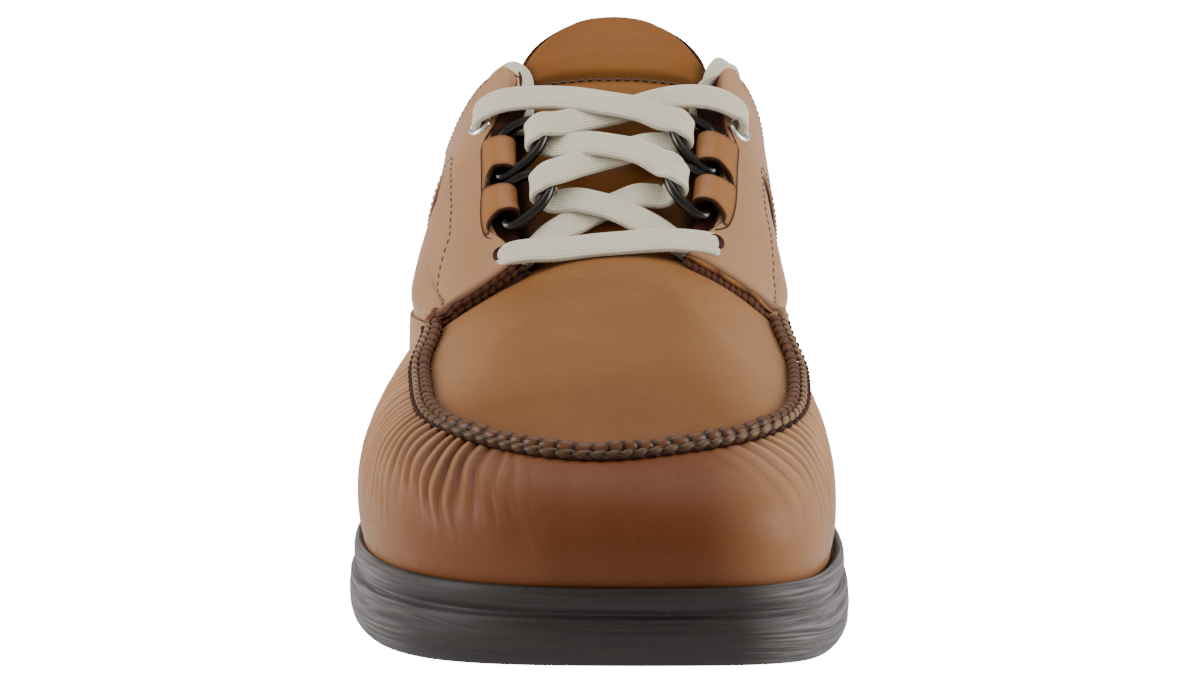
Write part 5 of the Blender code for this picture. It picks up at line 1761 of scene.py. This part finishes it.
BAR = spots(
    (24, 124, 74.5, 34, 0.97), (20, 123.4, 75.3, 33), (14, 122.8, 75.8, 33), (4, 122.2, 75.3, 33),
    (-5, 122.2, 74.5, 33), (-14, 122.6, 73.4, 33), (-19, 122, 73.4, 33), (-22.8, 122, 72.7, 34, 0.97),
)
LATERAL_BOTTOM = spots(
    (-24.9, 122.8, 71.4, 36, 0.75), (-25.4, 124.4, 69.8, 38, 0.5), (-25, 126.4, 67.8, 38, 0.5),
    (-24, 127.8, 67.2, 38, 0.75),
)
LOW_UNDER = spots(
    (-20, 128.2, 70.2, 38, 0.95), (-14, 129.5, 75.3, 38), (-8.5, 132.5, 77.9, 38), (-3, 135.8, 80, 38),
    (2.4, 137, 82), (8, 137.6, 83.6), (14, 138.6, 84.2),
)
MID_OVER = spots(
    (12.2, 140.4, 91), (7, 143.2, 93, 36), (1, 145.4, 94, 34), (-6, 147.4, 94.3, 35),
    (-13.4, 150.6, 93.4, 36),
)
TOP_UNDER = spots(
    (-13.2, 152.2, 98.1), (-7, 155.6, 98.5), (1, 158.8, 99.5), (9, 160.5, 101.6), (16.8, 161, 103.1),
    (23, 161.3, 103), (28, 161.4, 101.6),
)
MEDIAL_END = spots(
    (31.2, 161.3, 99.4, 37, 0.92), (32.2, 160.9, 97.2, 37, 0.7), (31.6, 161.2, 95.2, 37, 0.45),
    (29.9, 162.3, 93.4, 37, 0.42), (28.4, 163.6, 91.8, 40, 0.48), (26.4, 163.4, 92.4, 45, 0.6),
    (23.6, 162.2, 94.6, 50, 0.8),
)
LOWER, UPPER = 0, 1
LACE_ROUTE = (
    LATERAL_START + TOP_OVER + ring_fold(MEDIAL, UPPER) + MID_UNDER + ring_fold(LATERAL, LOWER)
    + LOW_OVER + MEDIAL_BOTTOM + BAR + LATERAL_BOTTOM + LOW_UNDER
    + ring_fold(MEDIAL, LOWER, upwards=True) + MID_OVER + ring_fold(LATERAL, UPPER, upwards=True)
    + TOP_UNDER + MEDIAL_END
)
print("spots on the lace's route:", len(LACE_ROUTE))


# %% Lace
def tape_section(gather):
    """Sections of a flat tape with rounded edges, which grows thicker where it is gathered."""
    turn = np.linspace(0, 2 * np.pi, 28, endpoint=False)
    flat = np.sign(np.cos(turn)) * np.abs(np.cos(turn)) ** 0.55
    round_edge = np.sign(np.sin(turn)) * np.abs(np.sin(turn)) ** 0.5
    width = (LACE_WIDE / 2 * gather)[:, None] * flat[None]
    height = (LACE_THICK / 2 * (1 + 0.75 * (1 - gather)))[:, None] * round_edge[None]
    return np.stack([width, height], axis=-1)


def make_tape(name, path, across, gather, replaced):
    """A flat tape along a path; across is the direction of its width."""
    rings = swept_rings(path, across, tape_section(gather))
    no_crease = np.zeros(rings.shape[:2])
    return make_bar(name, rings, COTTON, "lace_cotton", replaced, crease_angle=1.2, crease=no_crease)


LOOP_SNUG = {LATERAL: (-1.9, 0, -0.7), MEDIAL: (2.2, 0, -1.6)}  # how the upper bend lies on the leather
LoopRow = namedtuple("LoopRow", "lateral medial along up")
LOOP = [LoopRow(*row) for row in (
    (22.4, 22.4, 161, 94.6), (20.2, 22.4, 167.5, 100.6), (19, 22.4, 172.5, 104.6),
    (20.2, 24.2, 176.4, 106.8), (23.6, 27.2, 179.2, 107.4), (26.6, 29.4, 182.2, 105.2),
    (27.9, 30, 186.2, 99.6), (28.4, 30, 190, 91.4), (29.6, 30.6, 193, 83),
)]
route = smooth_curve([(*spot[:4], spot.gather * GATHER_SCALE) for spot in LACE_ROUTE], fine=12)
route = even_points(route, 0.42)
tilt = np.radians(route[:, 3])
lace_across = np.column_stack([np.zeros(len(route)), np.cos(tilt), np.sin(tilt)])
make_tape(
    "lace_laced", route[:, :3], lace_across, np.clip(route[:, 4] / GATHER_SCALE, LEAST_GATHER, 1),
    ["lace_bar", "lace_cross_low", "lace_cross_mid", "lace_cross_top"],
)
for side_name, side in SIDES:
    sign = 1 if side else -1
    loop_path = smooth_curve([(sign * row[side], row.along, row.up + side) for row in LOOP])
    loop_path = even_points(loop_path, 0.45)
    way = ease(run_length(loop_path) / 24)[:, None]
    snug = np.exp(-(((run_length(loop_path) - 16) / 8) ** 2))[:, None]
    loop_path = loop_path + snug * np.array(LOOP_SNUG[side])
    loop_across = np.array([1.0, 0.15, 0]) * (1 - way) + np.array([-sign * 0.35, 0.94, 0.1]) * way
    loop_tape = make_tape(
        f"lace_loop_{side_name}_tape", loop_path, loop_across, np.ones(len(loop_path)),
        [f"lace_loop_{side_name}"],
    )
